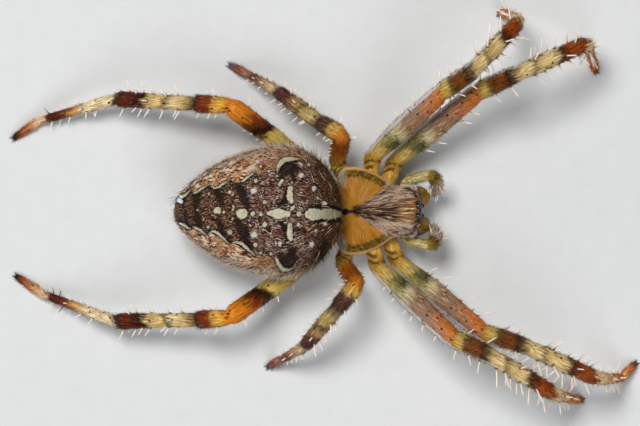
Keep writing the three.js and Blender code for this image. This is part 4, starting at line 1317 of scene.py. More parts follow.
# %% [markdown]
# ## Spinnerets
# A short cluster of cones under the rear of the abdomen lets out the silk. A base ring
# carries two pairs of stout cones and a small pair between them.

# %% Spinneret cluster
spin_x, spin_z = -6.7, 1.75
spin_forms = [round_form((spin_x, 0, spin_z + 0.1), (0.85, 0.8, 0.6), 40, 60)]
# For each pair of cones: how far ahead and aside, its lean, its length and its radius.
cones = ((0.38, 0.3, 0.1, 0.95, 0.3), (-0.4, 0.33, -0.55, 1.0, 0.27), (0.0, 0.14, -0.2, 0.7, 0.15))
spin_clearance = 0.3
for (along, across, lean, length, radius), sign in product(cones, (1, -1)):
    def cone_point(x, r, turn, along=along, across=across, lean=lean, sign=sign):
        ahead = spin_x + along + r * np.cos(turn) + x * math.sin(lean)
        aside = across * sign + (r * np.sin(turn) + x * 0.18 * sign)
        return columns(ahead, aside, spin_z - 0.05 - x * math.cos(lean))

    spin_forms.append(turned_form([
        (-0.2, 0), (-0.15, radius), (0.1, radius), (length * 0.55, radius * 0.85),
        (length * 0.62, radius * 0.7), (length * 0.9, radius * 0.5), (length, 0),
    ], cone_point, 36, 32))
for points, _, _ in spin_forms:
    points[:, 2] = np.maximum(points[:, 2], spin_clearance)


def spin_recipe(net):
    place = net.spot()
    tone = net.mix(net.step(net.axis(place, "Z"), 1.7, 0.9), "3c281a", "7e5430")
    return mottled(net, place, tone, 0.6, 0.5)


spinnerets = placed_piece("spinneret_cluster", spin_forms)
dress(spinnerets, material("spinneret skin", spin_recipe, 0.55, 0.03), "abdomen", "spinnerets")
print("spinnerets", faces_of(spinnerets), "triangles")


# %% Hair on jaws, mouth and spinnerets
def sprinkle(name, piece, count, seed, length, radius, towards, allowed):
    """Short hair on random faces of a piece, leaning one way."""
    random = np.random.default_rng(seed)
    faces = piece.data.polygons
    middles, outs = np.empty(len(faces) * 3), np.empty(len(faces) * 3)
    faces.foreach_get("center", middles)
    faces.foreach_get("normal", outs)
    middles, outs = middles.reshape(-1, 3) * 1000 - waist, outs.reshape(-1, 3)
    areas = np.empty(len(faces))
    faces.foreach_get("area", areas)
    areas = areas * allowed(middles)
    chosen = random.choice(len(faces), int(count * more), p=areas / areas.sum())
    roots, out = middles[chosen], outs[chosen]
    lie = unit(np.asarray(towards) - out * (out @ np.asarray(towards))[:, None] + 1e-6)
    ways = lie * 0.8 + out * 0.6 + jitter(random, roots, 0.15)
    lengths = length * random.uniform(0.6, 1.3, len(roots))
    unwrap = columns(0.05 + 0.9 * chosen / len(faces), random.uniform(0.05, 0.95, len(chosen)))
    sag, keep = jitter(random, roots, 0.1), {"place": roots}
    return grow(name, roots - out * root_depth, ways, lengths, radius, sag, seed, keep, unwrap)


def under(height, rear=abdomen_rear):
    """A rule that is true for places below a height and in front of a rear end."""
    return lambda places: (places[:, 2] < height) & (places[:, 0] > rear)


# For each: the skin, the slot, how many, seed, length, radius, which way and where.
downward, backward = (0.0, 0.0, -1.0), (-1.0, 0.0, -0.4)
downs = {
    "jaw_hair_left": ("jaw_left", "chelicera", 260, 41, 0.28, 0.008, downward, under(2.7)),
    "jaw_hair_right": ("jaw_right", "chelicera", 260, 41, 0.28, 0.008, downward, under(2.7)),
    "mouth_hair": ("mouth_plates", "chelicera", 500, 42, 0.3, 0.008, downward, under(2.4)),
    "spinneret_hair": ("spinneret_cluster", "abdomen", 1500, 43, 0.28, 0.008, downward, under(1.9)),
    "breastplate_hair": ("thorax_skin", "carapace", 1400, 44, 0.32, 0.009, backward, under(2.4, 1.4)),
}
for name, (skin, slot, *coat) in downs.items():
    dress(sprinkle(name, bpy.data.objects[skin], *coat), pale_hair_material, slot)
print("down on", [skin for skin, *_ in downs.values()])

# %% [markdown]
# ## Limbs
# A leg is one long tube with a knuckle at each joint. Its middle line runs through the
# joints of the pose, rounded where it bends, and a short list of radii gives it thighs and
# waists. A swept tube keeps a count of how far along and how far round each point is, and
# bands, spines and hair are all placed by that count.

# %% The pose
# For each pair of legs: lengths of femur, patella, tibia, metatarsus and tarsus, and the
# radii near the base, at the belly and near the end of each.
leg_makes = {
    "1": ((7.25, 2.85, 4.85, 4.8, 1.55), (
        (0.53, 0.68, 0.58), (0.55, 0.56, 0.52), (0.46, 0.51, 0.47), (0.38, 0.27, 0.23), (0.24, 0.23, 0.18),
    )),
    "2": ((6.7, 2.6, 4.7, 4.6, 1.55), (
        (0.53, 0.68, 0.58), (0.55, 0.56, 0.52), (0.46, 0.5, 0.46), (0.38, 0.27, 0.23), (0.24, 0.23, 0.18),
    )),
    "3": ((3.6, 1.95, 3.7, 2.9, 1.45), (
        (0.46, 0.54, 0.51), (0.51, 0.52, 0.47), (0.44, 0.46, 0.4), (0.32, 0.25, 0.22), (0.23, 0.22, 0.17),
    )),
    "4": ((6.45, 2.2, 5.2, 5.2, 1.9), (
        (0.46, 0.58, 0.6), (0.46, 0.5, 0.54), (0.43, 0.42, 0.49), (0.35, 0.27, 0.25), (0.25, 0.24, 0.18),
    )),
}
# For each leg: where it leaves the breastplate, its hip, and each segment's heading and
# pitch in degrees. The last segment takes the pitch that brings its tip to the floor.
leg_poses = {
    "left_1": ((3.75, 0.65, 2.4), (4.5, 3.0, 2.4), (40, 24, 24, -46, -67), (28.5, 32.5, -16, -80)),
    "left_2": ((2.85, 0.8, 2.5), (3.17, 3.3, 3.15), (43, 34, 47, 126, 179), (36, 30, -29, -79)),
    "left_3": ((2.3, 0.8, 2.4), (0.98, 2.95, 2.6), (77.5, 150.5, 143, 149, 153.5), (63.5, -39.5, -26, -47)),
    "left_4": (
        (1.55, 0.62, 2.35), (-0.72, 2.85, 2.1), (143.5, 177, 176, -165, -146.5), (25.5, -18, -22, -20),
    ),
    "right_1": ((3.8, -0.65, 2.4), (4.65, -3.02, 2.4), (-40, -17.5, -24.5, -4, 41.5), (25, 23, -12.5, -68.5)),
    "right_2": (
        (2.9, -0.8, 2.5), (3.45, -3.37, 3.15), (-43.5, -24.5, -31, -20, -10), (24.5, 24, -13.5, -72.5),
    ),
    "right_3": (
        (2.25, -0.8, 2.4), (1.32, -3.12, 2.6), (-54, -129.5, -130, -148, -151), (65, -1.5, -36.5, -56),
    ),
    "right_4": (
        (1.55, -0.62, 2.35), (-0.72, -3.07, 2.1), (-145, -176, -178.5, 160.5, 146), (26.5, -29.5, -17, -22),
    ),
}


def limb_joints(start, headings, pitches, lengths, sole=0.07):
    """The places of a limb's joints; its tip ends just above the floor if no pitch is left."""
    joints = [np.array(start, float)]
    for order, length in enumerate(lengths):
        turn = math.radians(headings[order])
        if order < len(pitches):
            climb = math.radians(pitches[order])
        else:
            climb = math.asin(max(-1.0, min(1.0, (sole - joints[-1][2]) / length)))
        step = (math.cos(climb) * math.cos(turn), math.cos(climb) * math.sin(turn), math.sin(climb))
        joints.append(joints[-1] + length * np.array(step))
    return joints


# %% A limb's middle line and radii
def limb_radii(makes, hip):
    """(along, radius) pairs, where along counts whole segments from the root."""
    root, ring, end = hip
    pairs = [(0.0, root), (0.25, root + 0.06), (0.68, ring * 0.97), (0.78, ring * 0.86)]
    pairs += [(0.88, ring), (0.95, end)]
    for order, (base, belly, last) in enumerate(makes):
        before = makes[order - 1][2] if order else end
        start = order + 1
        pairs += [(start, 0.84 * min(before, base)), (start + 0.05, base * 0.97), (start + 0.12, base)]
        pairs += [(start + 0.42, belly), (start + 0.88, last), (start + 0.96, last * 0.98)]
    pairs.append((len(makes) + 1, makes[-1][2] * 0.85))
    return np.array(pairs)


def limb_line(joints, radii, spacing):
    """Samples of the middle line: places, and how far along each is in whole segments."""
    lengths = [np.linalg.norm(after - before) for before, after in zip(joints, joints[1:])]
    ways = [(after - before) / length for before, after, length in zip(joints, joints[1:], lengths)]
    cuts = [0.0]
    for order in range(1, len(lengths)):
        bend = math.acos(max(-1.0, min(1.0, float(ways[order - 1] @ ways[order]))))
        thick = np.interp(order - 0.1, *radii.T)
        room = 0.42 * min(lengths[order - 1], lengths[order])
        cuts.append(min(room, 1.05 * thick * math.tan(bend / 2) + 0.05))
    cuts.append(0.0)
    places, along = [], []
    for order, (length, way) in enumerate(zip(lengths, ways)):
        start, end = cuts[order], length - cuts[order + 1]
        steps = max(2, int((end - start) / spacing))
        for distance in np.linspace(start, end, steps, endpoint=order == len(lengths) - 1):
            places.append(joints[order] + way * distance)
            along.append(order + distance / length)
        if order < len(lengths) - 1:
            cut, corner = cuts[order + 1], joints[order + 1]
            first, last = corner - way * cut, corner + ways[order + 1] * cut
            for share in np.linspace(0, 1, max(3, int(2 * cut / spacing)), endpoint=False):
                rest = 1 - share
                places.append(first * rest**2 + 2 * corner * share * rest + last * share**2)
                reach = lengths[order] if share < 0.5 else lengths[order + 1]
                along.append(order + 1 + cut * (2 * share - 1) / reach)
    return np.array(places), np.array(along)


# %% [markdown]
# ### Sweeping the tube
# At each sample a ring stands square to the line. Its back direction is carried along
# without twist, so that the back of the leg stays its back round every bend. Turns are
# counted towards the front side of the leg, so left and right legs are marked as mirrors.


# %% Sweeping a limb
def sweep(joints, makes, hip, front, spacing, sides):
    """Builds a limb's skin and returns everything that bands, spines and hair need."""
    radii = limb_radii(makes, hip)
    places, along = limb_line(joints, radii, spacing)
    thick = np.interp(along, *radii.T)
    for _ in range(3):
        thick[1:-1] = np.convolve(thick, [0.25, 0.5, 0.25], "valid")
    ways = unit(np.gradient(places, axis=0))
    up, carried = np.empty_like(ways), np.array([0, 0, 1.0])
    for order, way in enumerate(ways):
        carried = carried - way * (carried @ way)
        carried = carried / np.linalg.norm(carried)
        up[order] = carried
    walked = join([[0], np.cumsum(np.linalg.norm(np.diff(places, axis=0), axis=1))])
    cap, end = np.radians([25, 50, 70]), thick[-1]
    places = join([places, places[-1] + ways[-1] * (0.8 * end * np.sin(cap))[:, None]])
    walked = join([walked, walked[-1] + 0.8 * end * np.sin(cap)])
    thick = join([thick, end * np.cos(cap)])
    along = join([along, along[-1] + 0.02 * np.sin(cap)])
    ways, up = (join([values, np.repeat(values[-1:], 3, axis=0)]) for values in (ways, up))
    side = np.cross(up, ways) * front
    turn = np.linspace(-math.pi, math.pi, sides, endpoint=False)
    ring = up[:, None] * np.cos(turn)[None, :, None] + side[:, None] * np.sin(turn)[None, :, None]
    points = (places[:, None] + ring * thick[:, None, None]).reshape(-1, 3)
    points = join([points, [places[0], places[-1] + ways[-1] * 0.05 * end]])
    points[:, 2] = np.maximum(points[:, 2], 0.002)
    across, rise = np.outer(thick, np.sin(turn)).ravel(), np.outer(thick, np.cos(turn)).ravel()
    straight = columns(np.repeat(walked, sides), across, rise)
    marks = {
        "along": join([np.repeat(along, sides), [along[0], along[-1]]]),
        "edge": join([np.tile(np.sin(turn), len(places)), [0, 0]]),
        "straight": join([straight, [[0, 0, 0], [walked[-1], 0, 0]]]),
    }
    quads, triangles = tube_faces(len(places), sides)
    if front > 0:
        quads, triangles = quads[:, ::-1], triangles[:, ::-1]
    return {
        "skin": (points, quads, triangles), "marks": marks, "line": places, "count": along,
        "ways": ways, "up": up, "side": side, "thick": thick, "walked": walked,
    }


def on_limb(limb, along, turn):
    """Skin point, outward and forward directions, and the notes of the skin there."""
    def at(values):
        return columns(*(np.interp(along, limb["count"], axis) for axis in values.T))

    middle, (ways, up, side) = at(limb["line"]), (unit(at(limb[name])) for name in ("ways", "up", "side"))
    thick, walked = (np.interp(along, limb["count"], limb[label]) for label in ("thick", "walked"))
    out = up * np.cos(turn)[:, None] + side * np.sin(turn)[:, None]
    straight = columns(walked, thick * np.sin(turn), thick * np.cos(turn))
    marks = {"along": along, "edge": np.sin(turn), "straight": straight}
    return middle + out * thick[:, None], out, ways, marks


# %% [markdown]
# ## The bands of the legs
# Cream, orange, olive and mahogany bands run down each leg. The two front pairs share one
# order of them, and the third and fourth pairs have their own. A colour ramp over the count
# of segments holds the bands, shifted by streaky noise so that dark colour runs into light
# in fine lines along the leg. Black dots are the sockets of lost bristles, and red ones lie
# only in the orange parts. The front pairs also wear a whitish stripe on their rear edge: their
# white hair there, with a painted rim highlight over it.
# The same group colours skin and hair.

# %% Band colours
# For each kind: whether it wears the rear stripe of white hair and painted rim highlight,
# where its orange begins and ends, and its bands.
leg_bands = {
    "front": (True, 1.72, 2.12, [
        (0.0, "be8e3a"), (0.7, "cc9e44"), (0.98, "a87c26"), (1.03, "c29c44"), (1.14, "cdb068"),
        (1.22, "b4a060"), (1.31, "98905c"), (1.38, "aaa070"), (1.43, "c8b88a"), (1.49, "a88c68"),
        (1.56, "886044"), (1.68, "a47c5c"), (1.8, "b8805a"), (1.88, "cc8040"), (1.95, "cc7428"),
        (2.08, "c48038"), (2.16, "c4a248"), (2.3, "c4a85c"), (2.38, "6e5826"), (2.48, "683a0a"),
        (2.72, "7c420c"), (2.88, "301e0c"), (2.97, "604a28"), (3.03, "d8b980"), (3.17, "e4ca92"),
        (3.24, "7c6c40"), (3.3, "ceb078"), (3.52, "e4c88e"), (3.6, "281808"), (3.68, "6c2c04"),
    ]),
    "front far": (False, 9.0, 9.5, [
        (0.0, "6c2c04"), (3.78, "94440a"), (3.94, "7c340a"), (4.0, "ecc88e"), (4.16, "f8deac"),
        (4.3, "f0a04c"), (4.5, "f8d69c"), (4.66, "e08036"), (4.95, "d4702c"), (5.1, "fcba70"),
        (5.7, "ee9040"), (5.93, "5a2a10"),
    ]),
    "third": (False, 1.4, 2.1, [
        (0.0, "be8e3a"), (0.8, "cc9e44"), (1.05, "b08828"), (1.2, "b09440"), (1.34, "bc7c28"),
        (1.46, "a85c14"), (1.8, "8c4a10"), (1.97, "b0641a"), (2.08, "c67c2c"), (2.2, "d2a046"),
        (2.38, "c8a058"), (2.5, "604030"), (2.84, "4a2c20"), (2.96, "3c2e20"), (3.05, "8c7454"),
        (3.14, "c2a868"), (3.34, "b49a60"), (3.42, "54452a"), (3.5, "b4935e"), (3.6, "a27a50"),
        (3.7, "5c362c"), (3.95, "462824"), (4.03, "d2b488"), (4.4, "c8a47e"), (4.52, "b07858"),
        (4.75, "7c4838"), (4.95, "a06a54"), (5.1, "c88c74"), (5.5, "a4604e"), (5.9, "8c7480"),
    ]),
    "fourth": (False, 1.6, 2.1, [
        (0.0, "be8e3a"), (0.8, "c89c48"), (1.03, "a0821e"), (1.25, "b4942e"), (1.5, "dec068"),
        (1.57, "200e06"), (1.66, "3c1a08"), (1.75, "7c3c0e"), (1.84, "cc7c18"), (1.92, "dc8218"),
        (2.06, "d8841c"), (2.22, "e4b44c"), (2.42, "dca646"), (2.52, "8a3a10"), (2.82, "7a2e0a"),
        (2.95, "1c140a"), (3.05, "907448"), (3.14, "e2c282"), (3.28, "ecd29a"), (3.35, "5a4820"),
        (3.42, "e2c282"), (3.56, "dcb97a"), (3.63, "1c0a02"), (3.72, "421402"), (3.86, "642206"),
        (3.94, "2a0e02"), (3.99, "5c4644"), (4.04, "f0d8a8"), (4.36, "f6e0b4"), (4.55, "c88e50"),
        (4.66, "6e2c0a"),
    ]),
    "fourth far": (False, 9.0, 9.5, [
        (0.0, "6a2c0c"), (4.88, "4c1c0a"), (4.95, "ecc8a0"), (5.22, "ecb684"), (5.5, "cc7c44"),
        (5.8, "8c4018"), (5.94, "140a06"),
    ]),
    "palp": (False, 9.0, 9.5, [
        (0.0, "c8a050"), (1.0, "dcc880"), (1.5, "e2d298"), (1.95, "dcc888"), (2.05, "a58728"),
        (2.5, "8a7020"), (2.9, "a58c34"), (3.02, "e6d2b0"), (3.5, "e4ccb8"), (4.0, "e0c4b0"),
        (4.5, "e4c8b0"), (5.0, "c08c68"),
    ]),
}
print("band stops", {name: len(make[-1]) for name, make in leg_bands.items()})

# %% The group of bands
# The ramp ends just past the tip of the foot, at this count.
whole = 6.2
# Two dark crescents near the end of each thigh: the count where they lie, and how wide.
crescents = ((0.79, 0.07), (0.955, 0.055))


def band_group(name, stripe, red_from, red_to, stops):
    """Bands for one kind of leg: the count along, the edge and the straight place go in."""
    net, inlet, finish = group(
        "bands " + name, {"Along": "Float", "Edge": "Float", "Place": "Vector"},
        {"Colour": "Color", "Height": "Float"},
    )
    along, edge, place = inlet["Along"], inlet["Edge"], inlet["Place"]
    streak = net.noise(place, (0.7, 0.045, 0.045), 3.0)
    shift = net.times(net.less(streak, 0.5), 0.22)
    shift = net.plus(shift, net.sway(place, (0.5, 0.35, 0.35), 0.18))
    moved = net.plus(along, shift, net.times(edge, 0.03))
    tone = net.ramp(net.times(moved, 1 / whole), *[(stop / whole, shade) for stop, shade in stops])
    hairline = net.noise(place, (1.1, 0.035, 0.035), 2.0)
    tone = net.scaled(tone, net.step(hairline, 0.36, 0.64, 1.25, 0.5))
    back = net.axis(place, "Z")
    arc = net.plus(along, net.times(edge, edge, 0.17))
    for ring, wide in crescents:
        crescent = net.times(net.step(net.size(arc, ring), wide, wide * 0.3), net.step(edge, 0.55, 0.0))
        tone = net.mix(net.times(crescent, net.step(back, 0.0, 0.25), 0.9), tone, "443408")
    red_hip = net.times(net.span(along, 0.88, 0.93, 0.99, 1.02), net.step(edge, 0.4, 0.75))
    tone = net.mix(red_hip, tone, "b0421a")
    if stripe:
        patch = net.times(net.step(net.size(moved, 1.31), 0.09, 0.03), net.step(edge, -0.75, 0.3), 0.9)
        tone = net.mix(patch, tone, net.mix(streak, "2a2c18", "5c5a3a"))
        fleck = net.step(net.noise(place, (0.3, 0.06, 0.06), 3.0), 0.56, 0.63)
        tone = net.mix(net.times(fleck, net.span(along, 1.16, 1.24, 2.0, 2.15), 0.6), tone, "38281a")
        # Pale cream streaks on the thigh's cream band: partly paler cuticle, partly a painted highlight.
        cream_streak_and_highlight = net.step(net.noise(place, (0.42, 0.12, 0.12), 2.0), 0.54, 0.64)
        tone = net.mix(net.times(cream_streak_and_highlight, net.span(along, 1.34, 1.42, 1.5, 1.7), 0.6), tone, "ecdfba")
        dusky = net.times(net.step(edge, 0.3, -0.6), net.span(along, 1.4, 1.5, 1.95, 2.1), 0.45)
        tone = net.mix(dusky, tone, "8c7468")
        # The whitish rear stripe, on the upper half only: white hair with a painted rim highlight over it.
        wide = net.plus(edge, net.sway(place, (0.5, 0.1, 0.1), 0.35), net.step(along, 1.9, 2.3, 0.0, 0.14))
        upper = net.step(net.plus(back, net.sway(place, (0.6, 0.3, 0.3), 0.3)), -0.2, 0.0)
        reach = net.times(net.step(along, 0.99, 1.05), net.step(wide, -0.76, -0.9), upper, 0.85)
        tone = net.mix(reach, tone, net.mix(hairline, "a6a5aa", "ecebee"))
    orange_part = net.span(along, red_from, red_from + 0.06, red_to - 0.06, red_to)
    warm = net.times(orange_part, net.step(edge, 0.0, 0.9), 0.35 if stripe else 0.15)
    tone = net.mix(warm, tone, "cc5c20")
    red_dot = net.step(net.cells(place, (0.5, 0.36, 0.36)), 0.34, 0.22)
    red_dot = net.times(red_dot, net.step(edge, -0.5, 0.2), orange_part, 0.9)
    tone = net.mix(red_dot, tone, "8a1c0a")
    black_dot = net.step(net.cells(net.swirled(place, 2.0, 0.5), (0.6, 0.42, 0.42)), 0.18, 0.13)
    tone = net.mix(net.times(black_dot, net.step(along, 1.04, 1.1), 0.92), tone, "140806")
    tone = net.mix(net.times(net.step(back, 0.0, -0.4), 0.35), tone, "d4b47c")
    skin = net.use(mottle.tree, {"Place": place, "Colour": tone, "Clouds": 0.3, "Grain": 0.4})
    finish(Colour=skin["Colour"], Height=net.plus(skin["Height"], streak))
    return net.tree


band_trees = {name: band_group(name, *make) for name, make in leg_bands.items()}
print("groups", [tree.name for tree in band_trees.values()])

# %% Skins of the limbs
far_bands_from = {"front": 3.70, "fourth": 4.70}


def banded(net, kind):
    """Colour and height of the skin; long lists of bands go on in a second group."""
    feeds = {"Along": net.note("along"), "Edge": net.note("edge"), "Place": net.spot("straight")}
    skin = net.use(band_trees[kind], feeds)
    if kind not in far_bands_from:
        return skin["Colour"], skin["Height"]
    far = net.use(band_trees[kind + " far"], feeds)
    change = far_bands_from[kind]
    beyond = net.step(feeds["Along"], change, change + 0.06)
    return net.mix(beyond, skin["Colour"], far["Colour"]), skin["Height"]


def leg_recipe(kind):
    def recipe(net):
        tone, height = banded(net, kind)
        return tone, None, height
    return recipe


def leg_hair_recipe(kind):
    def recipe(net):
        rear = net.times(net.step(net.note("edge"), -0.4, -0.9), 0.25 if kind == "front" else 0.03)
        pale = net.step(net.plus(net.note("own"), rear), 0.9, 0.98)
        tone = net.scaled(banded(net, kind)[0], net.step(net.note("own"), 0.0, 0.85, 0.3, 1.2))
        return net.mix(net.times(pale, 0.65), tone, "dccba8")
    return recipe


def spine_recipe(net):
    tip = net.note("tip")
    tone = net.ramp(tip, (0.04, "1a0c06"), (0.08, "a08468"), (0.2, "e6d6c4"), (1.0, "fcf6f0"))
    tone = net.mix(net.times(net.noise(net.spot(), (0.2, 0.2, 0.2)), 0.25), tone, "d8c0aa")
    return net.mix(net.note("dusk"), tone, "2c1a12")


kinds = {"1": "front", "2": "front", "3": "third", "4": "fourth"}
limb_materials = {
    kind: (
        material("skin of " + kind, leg_recipe(kind), 0.4, 0.02),
        material("hair of " + kind, leg_hair_recipe(kind), roughness=0.5),
    )
    for kind in ("front", "third", "fourth", "palp")
}
spine_material = material("straw spine", spine_recipe, roughness=0.35)
print("limb materials", list(limb_materials))

# %% [markdown]
# ## Spines, hair and claws
# Stiff spines stand in rows along a leg, each from a dark socket, and lean a little towards
# the foot. Most are straw pale. The ones along the back of thigh and knee are dark, and so
# are those of the fourth legs' feet. Fine hair lies between them, and a foot ends in two
# curved claws and a small one.

# %% Rows of spines
# Rows for each segment: turn from the back to the front side in degrees, how many, length.
spine_rows = {
    1: ((95, 4, 0.85), (-92, 6, 0.42), (60, 3, 0.35), (-60, 2, 0.35), (5, 2, 0.3)),
    2: ((85, 2, 0.75), (-85, 3, 0.75), (30, 1, 0.6)),
    3: (
        (88, 5, 0.95), (-85, 5, 1.0), (62, 2, 0.85), (-60, 2, 0.85), (5, 1, 0.6),
        (130, 3, 0.9), (-130, 3, 0.9),
    ),
    4: ((0, 2, 0.5), (75, 4, 0.7), (-75, 4, 0.7), (130, 3, 0.7), (-130, 3, 0.7)),
}
# A spine's profile: shares of its length, and its radius there; the first ones are a socket.
spine_steps = np.array([
    (0.0, 2.6), (0.035, 2.2), (0.055, 1.0), (0.3, 1.0), (0.55, 0.9), (0.78, 0.72), (0.94, 0.42),
])


def taper(name, starts, ways, lengths, radii, sag, dusk, sides=7):
    """Stout spines with a socket ring at the foot; sag bends them, dusk darkens them."""
    count = len(starts)
    ways = unit(ways)
    aside = unit(np.cross(ways, [0.31, 0.52, 0.79]))
    across = np.cross(ways, aside)
    turn = np.arange(sides) * 2 * math.pi / sides
    shares, profile = spine_steps.T
    middle = starts[:, None] + lengths[:, None, None] * (
        ways[:, None] * shares[None, :, None] + sag[:, None] * shares[None, :, None] ** 2
    )
    ring = aside[:, None] * np.cos(turn)[None, :, None] + across[:, None] * np.sin(turn)[None, :, None]
    body = middle[:, :, None] + ring[:, None] * (radii[:, None] * profile)[:, :, None, None]
    tips = starts + lengths[:, None] * (ways + sag)
    points = join([body.reshape(count, -1, 3), tips[:, None], starts[:, None]], axis=1)
    width, inner = points.shape[1], len(shares) * sides
    quads, ends = tube_faces(len(shares), sides)
    ends = np.where(ends == inner, width - 1, np.where(ends == inner + 1, width - 2, ends))
    first = (np.arange(count) * width)[:, None, None]
    points, quads, ends = points.reshape(-1, 3), (first + quads).reshape(-1, 4), (first + ends).reshape(-1, 3)
    piece = mesh_piece(name, points, quads, ends)
    tip = np.tile(join([np.repeat(shares, sides), [1.0, 0.0]]), count)
    note(piece, {"tip": tip, "place": points, "dusk": np.repeat(dusk, width)})
    return piece


print("rows of spines", {segment: len(rows) for segment, rows in spine_rows.items()})


# %% Spines of a limb
# Round rooms that the spines keep out of: middle and half sizes of abdomen and thorax.
kept_rooms = (([-3.71, 0, 4.8], [5.1, 3.95, 3.5]), ([3.5, 0, 3.3], [2.9, 2.6, 1.6]))
room_margin, floor_margin = 1.02, 0.25


def in_the_open(places):
    """True where a spine's tip doesn't reach into the abdomen, the thorax or the floor."""
    clear = places[:, 2] > floor_margin
    for middle, half in kept_rooms:
        clear &= np.linalg.norm((places - middle) / half, axis=1) > room_margin
    return clear


def spines_for(name, limb, rows, seed, short=1.0, dusk_from=9.0, stout=1.0):
    """Spines in their rows; they are dark from a count along, and on the back near the body."""
    random = np.random.default_rng(seed)
    along, turn, tall = [], [], []
    for segment, lines in rows.items():
        for degrees, count, length in lines:
            for order in range(count):
                share = (order + 0.5 + random.uniform(-0.3, 0.3)) / count
                along.append(segment + 0.12 + 0.82 * share)
                turn.append(math.radians(degrees + random.uniform(-12, 12)))
                tall.append(length * short * random.uniform(0.75, 1.2))
    along, turn, tall = np.array(along), np.array(turn), np.array(tall)
    skin, out, ways, _ = on_limb(limb, along, turn)
    aim = leaning(ways, out, random.uniform(8, 36, len(along)))
    good = in_the_open(skin + aim * tall[:, None])
    sag = ways * 0.08 + jitter(random, skin, 0.03)
    dusk = eased(along + random.normal(size=len(along)) * 0.2, dusk_from, dusk_from + 0.3)
    on_back = (along < 3) & (np.abs(turn) < 1.2)
    dusk = np.maximum(dusk, 0.85 * on_back)
    radii = stout * (0.037 + 0.019 * tall) * (1 - 0.4 * dusk)
    starts = skin - out * root_depth
    return taper(name, *(values[good] for values in (starts, aim, tall, radii, sag, dusk)))


# %% Hair and claws of a limb
limb_hair_radius = 0.0085


def limb_hair(name, limb, count, seed, first, length):
    """Hair all over a limb from a first count along, thinner near the body and the foot."""
    random = np.random.default_rng(seed)
    top = limb["count"][-4]
    along = first + (top - first) * random.random(count * 2)
    weight = np.interp(along, [0, 1, 2, 4, 4.3, 6.2], [0.25, 1, 0.9, 0.9, 0.75, 0.7])
    along = along[random.random(count * 2) < weight][:count]
    turn = random.uniform(-math.pi, math.pi, len(along))
    skin, out, ways, marks = on_limb(limb, along, turn)
    aim = leaning(ways, out, random.normal(54, 10, len(along)))
    aim = aim + jitter(random, skin, 0.14)
    tall = length * random.uniform(0.6, 1.4, len(along))
    good = (skin + unit(aim) * tall[:, None])[:, 2] > 0.03
    keep = {label: values[good] for label, values in marks.items()}
    unwrap = columns(0.02 + 0.96 * along / 6.5, 0.02 + 0.96 * (turn / (2 * math.pi) + 0.5))[good]
    sag = (-out * 0.15 + jitter(random, skin, 0.08))[good]
    starts = (skin - out * root_depth)[good]
    return grow(name, starts, aim[good], tall[good], limb_hair_radius, sag, seed, keep, unwrap)


claw_lengths, claw_radii = np.array([0.26, 0.26, 0.16]), np.array([0.03, 0.03, 0.022])


def claws_for(name, limb):
    """Two curved claws and a small middle one at the end of a foot."""
    tip, way = limb["line"][-4], limb["ways"][-1]
    flat = unit(np.array([way[0], way[1], 0.0]) + 1e-6)
    beside = np.array([-flat[1], flat[0], 0.0])
    root = tip + flat * 0.06
    starts = np.array([root + beside * across + [0, 0, 0.04] for across in (0.07, -0.07, 0.0)])
    ways = np.array([flat + beside * across + [0, 0, 0.35] for across in (0.35, -0.35, 0.0)])
    sag = np.array([[0, 0, -0.55]] * 3) + flat * 0.1
    return taper(name, starts, ways, claw_lengths, claw_radii, sag, np.ones(3))


def limb_pieces(name, limb, kind, slot, solids, rows, coat, seed, spines):
    """Skin, spines and hair of one limb."""
    skin_material, hair_material = limb_materials[kind]
    skin = mesh_piece(f"{name}_skin", *limb["skin"])
    note(skin, limb["marks"])
    dress(skin, skin_material, slot, *solids)
    dress(spines_for(f"{name}_spines", limb, rows, 100 + seed, *spines), spine_material, slot)
    count, first, length = coat
    hair = limb_hair(f"{name}_hair", limb, int(count * more), 200 + seed, first, length)
    dress(hair, hair_material, slot)
    return faces_of(skin), faces_of(hair)


# %% Legs
# A coat is how many hairs, the count along where it starts, and the length. Spines are how
# much of their full length, from which count along they are dark, and how stout.
leg_spacing, leg_sides = ((0.085, 40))
leg_hip, leg_coat = (0.34, 0.52, 0.5), (4600, 0.7, 0.27)
leg_spines = {"1": (1.0,), "2": (1.0,), "3": (0.58,), "4": (0.66, 4.7)}
for order, (leg, (root, hip_place, headings, pitches)) in enumerate(leg_poses.items()):
    pair, front = leg[-1], -1 if leg.startswith("left") else 1
    lengths, makes = leg_makes[pair]
    joints = [np.array(root, float)] + limb_joints(hip_place, headings, pitches, lengths)
    limb = sweep(joints, makes, leg_hip, front, leg_spacing, leg_sides)
    solids = [f"leg_{leg}_{part}" for part in ("femur", "tibia", "tarsus")]
    rows = {**spine_rows, 1: spine_rows[1][1:]} if pair == "2" else spine_rows
    counts = limb_pieces(
        f"leg_{leg}", limb, kinds[pair], "leg", solids, rows, leg_coat, order, leg_spines[pair],
    )
    dress(claws_for(f"leg_{leg}_claws", limb), fang_material, "leg")
print("legs", len(leg_poses), "with triangles of skin and hair", counts)

# %% [markdown]
# ## Palps
# Two short feelers curve inwards in front of the jaws. They are small legs with one segment
# fewer, straw yellow with an olive knee, and their ends are thick with pale hair.

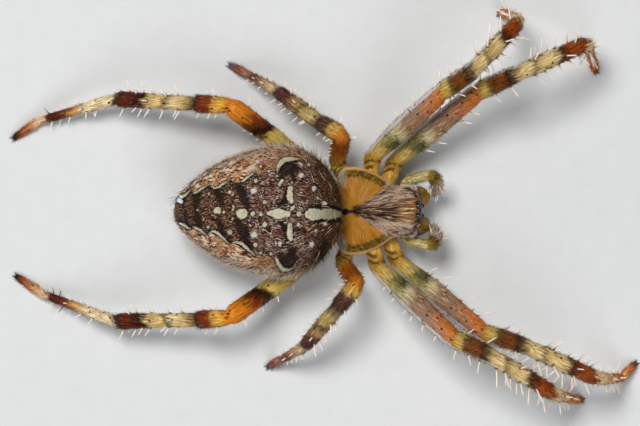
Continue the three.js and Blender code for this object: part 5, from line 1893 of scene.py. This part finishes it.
# %% Palps
palp_lengths = (1.65, 0.58, 0.7, 1.15)
palp_makes = ((0.27, 0.28, 0.29), (0.33, 0.36, 0.34), (0.31, 0.32, 0.31), (0.3, 0.3, 0.2))
palp_poses = {
    "left": ((5.22, 1.8, 2.85), (15, -22, -80, -110), (38, -25, -50, -68)),
    "right": ((5.2, -1.73, 2.85), (-14, 18, 80, 112), (40, -28, -50, -68)),
}
palp_rows = {
    1: ((20, 1, 0.4),), 2: ((0, 2, 0.6), (60, 1, 0.6), (-60, 1, 0.6)),
    3: ((0, 1, 0.7), (60, 2, 0.7), (-60, 2, 0.7)), 4: ((0, 2, 0.7), (70, 3, 0.7), (-70, 3, 0.7)),
}
palp_hip, palp_spacing = (0.28, 0.32, 0.3), 0.06
palp_coat, palp_spines = (3000, 1.0, 0.3), (0.8, 9.0, 0.55)
for order, (side, (start, headings, pitches)) in enumerate(palp_poses.items()):
    joints = [np.array([4.75, math.copysign(0.6, start[1]), 2.6])]
    joints += limb_joints(start, headings, pitches, palp_lengths)
    limb = sweep(joints, palp_makes, palp_hip, 1 if order else -1, palp_spacing, leg_sides)
    solids = [f"palp_{side}_base", f"palp_{side}_end"]
    limb_pieces(
        f"palp_{side}", limb, "palp", "palp", solids, palp_rows, palp_coat, 90 + order, palp_spines,
    )
print("palps", len(palp_poses))

# %% [markdown]
# ## The floor
# A plain pale sheet under the feet. It isn't part of the animal.


# %% Floor
def floor_recipe(net):
    place = net.knot("TexCoord").outputs["Object"]
    return net.mix(net.noise(place, (0.001, 0.001, 0.001)), "d2d5d8", "d9dcde")


reach = 1500.0
corners = np.array([[-reach, -reach, 0], [reach, -reach, 0], [reach, reach, 0], [-reach, reach, 0]])
floor = mesh_piece("floor", corners - waist, [[0, 1, 2, 3]], smooth=False)
floor.data.materials.append(material("pale floor", floor_recipe, roughness=0.8))
print("floor", reach * 2, "mm wide")

# %% Sizes and the end
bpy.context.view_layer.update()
total = sum(faces_of(piece) for piece in bpy.data.objects if piece.type == "MESH" and not piece.hide_render)
print("triangles in all", total)
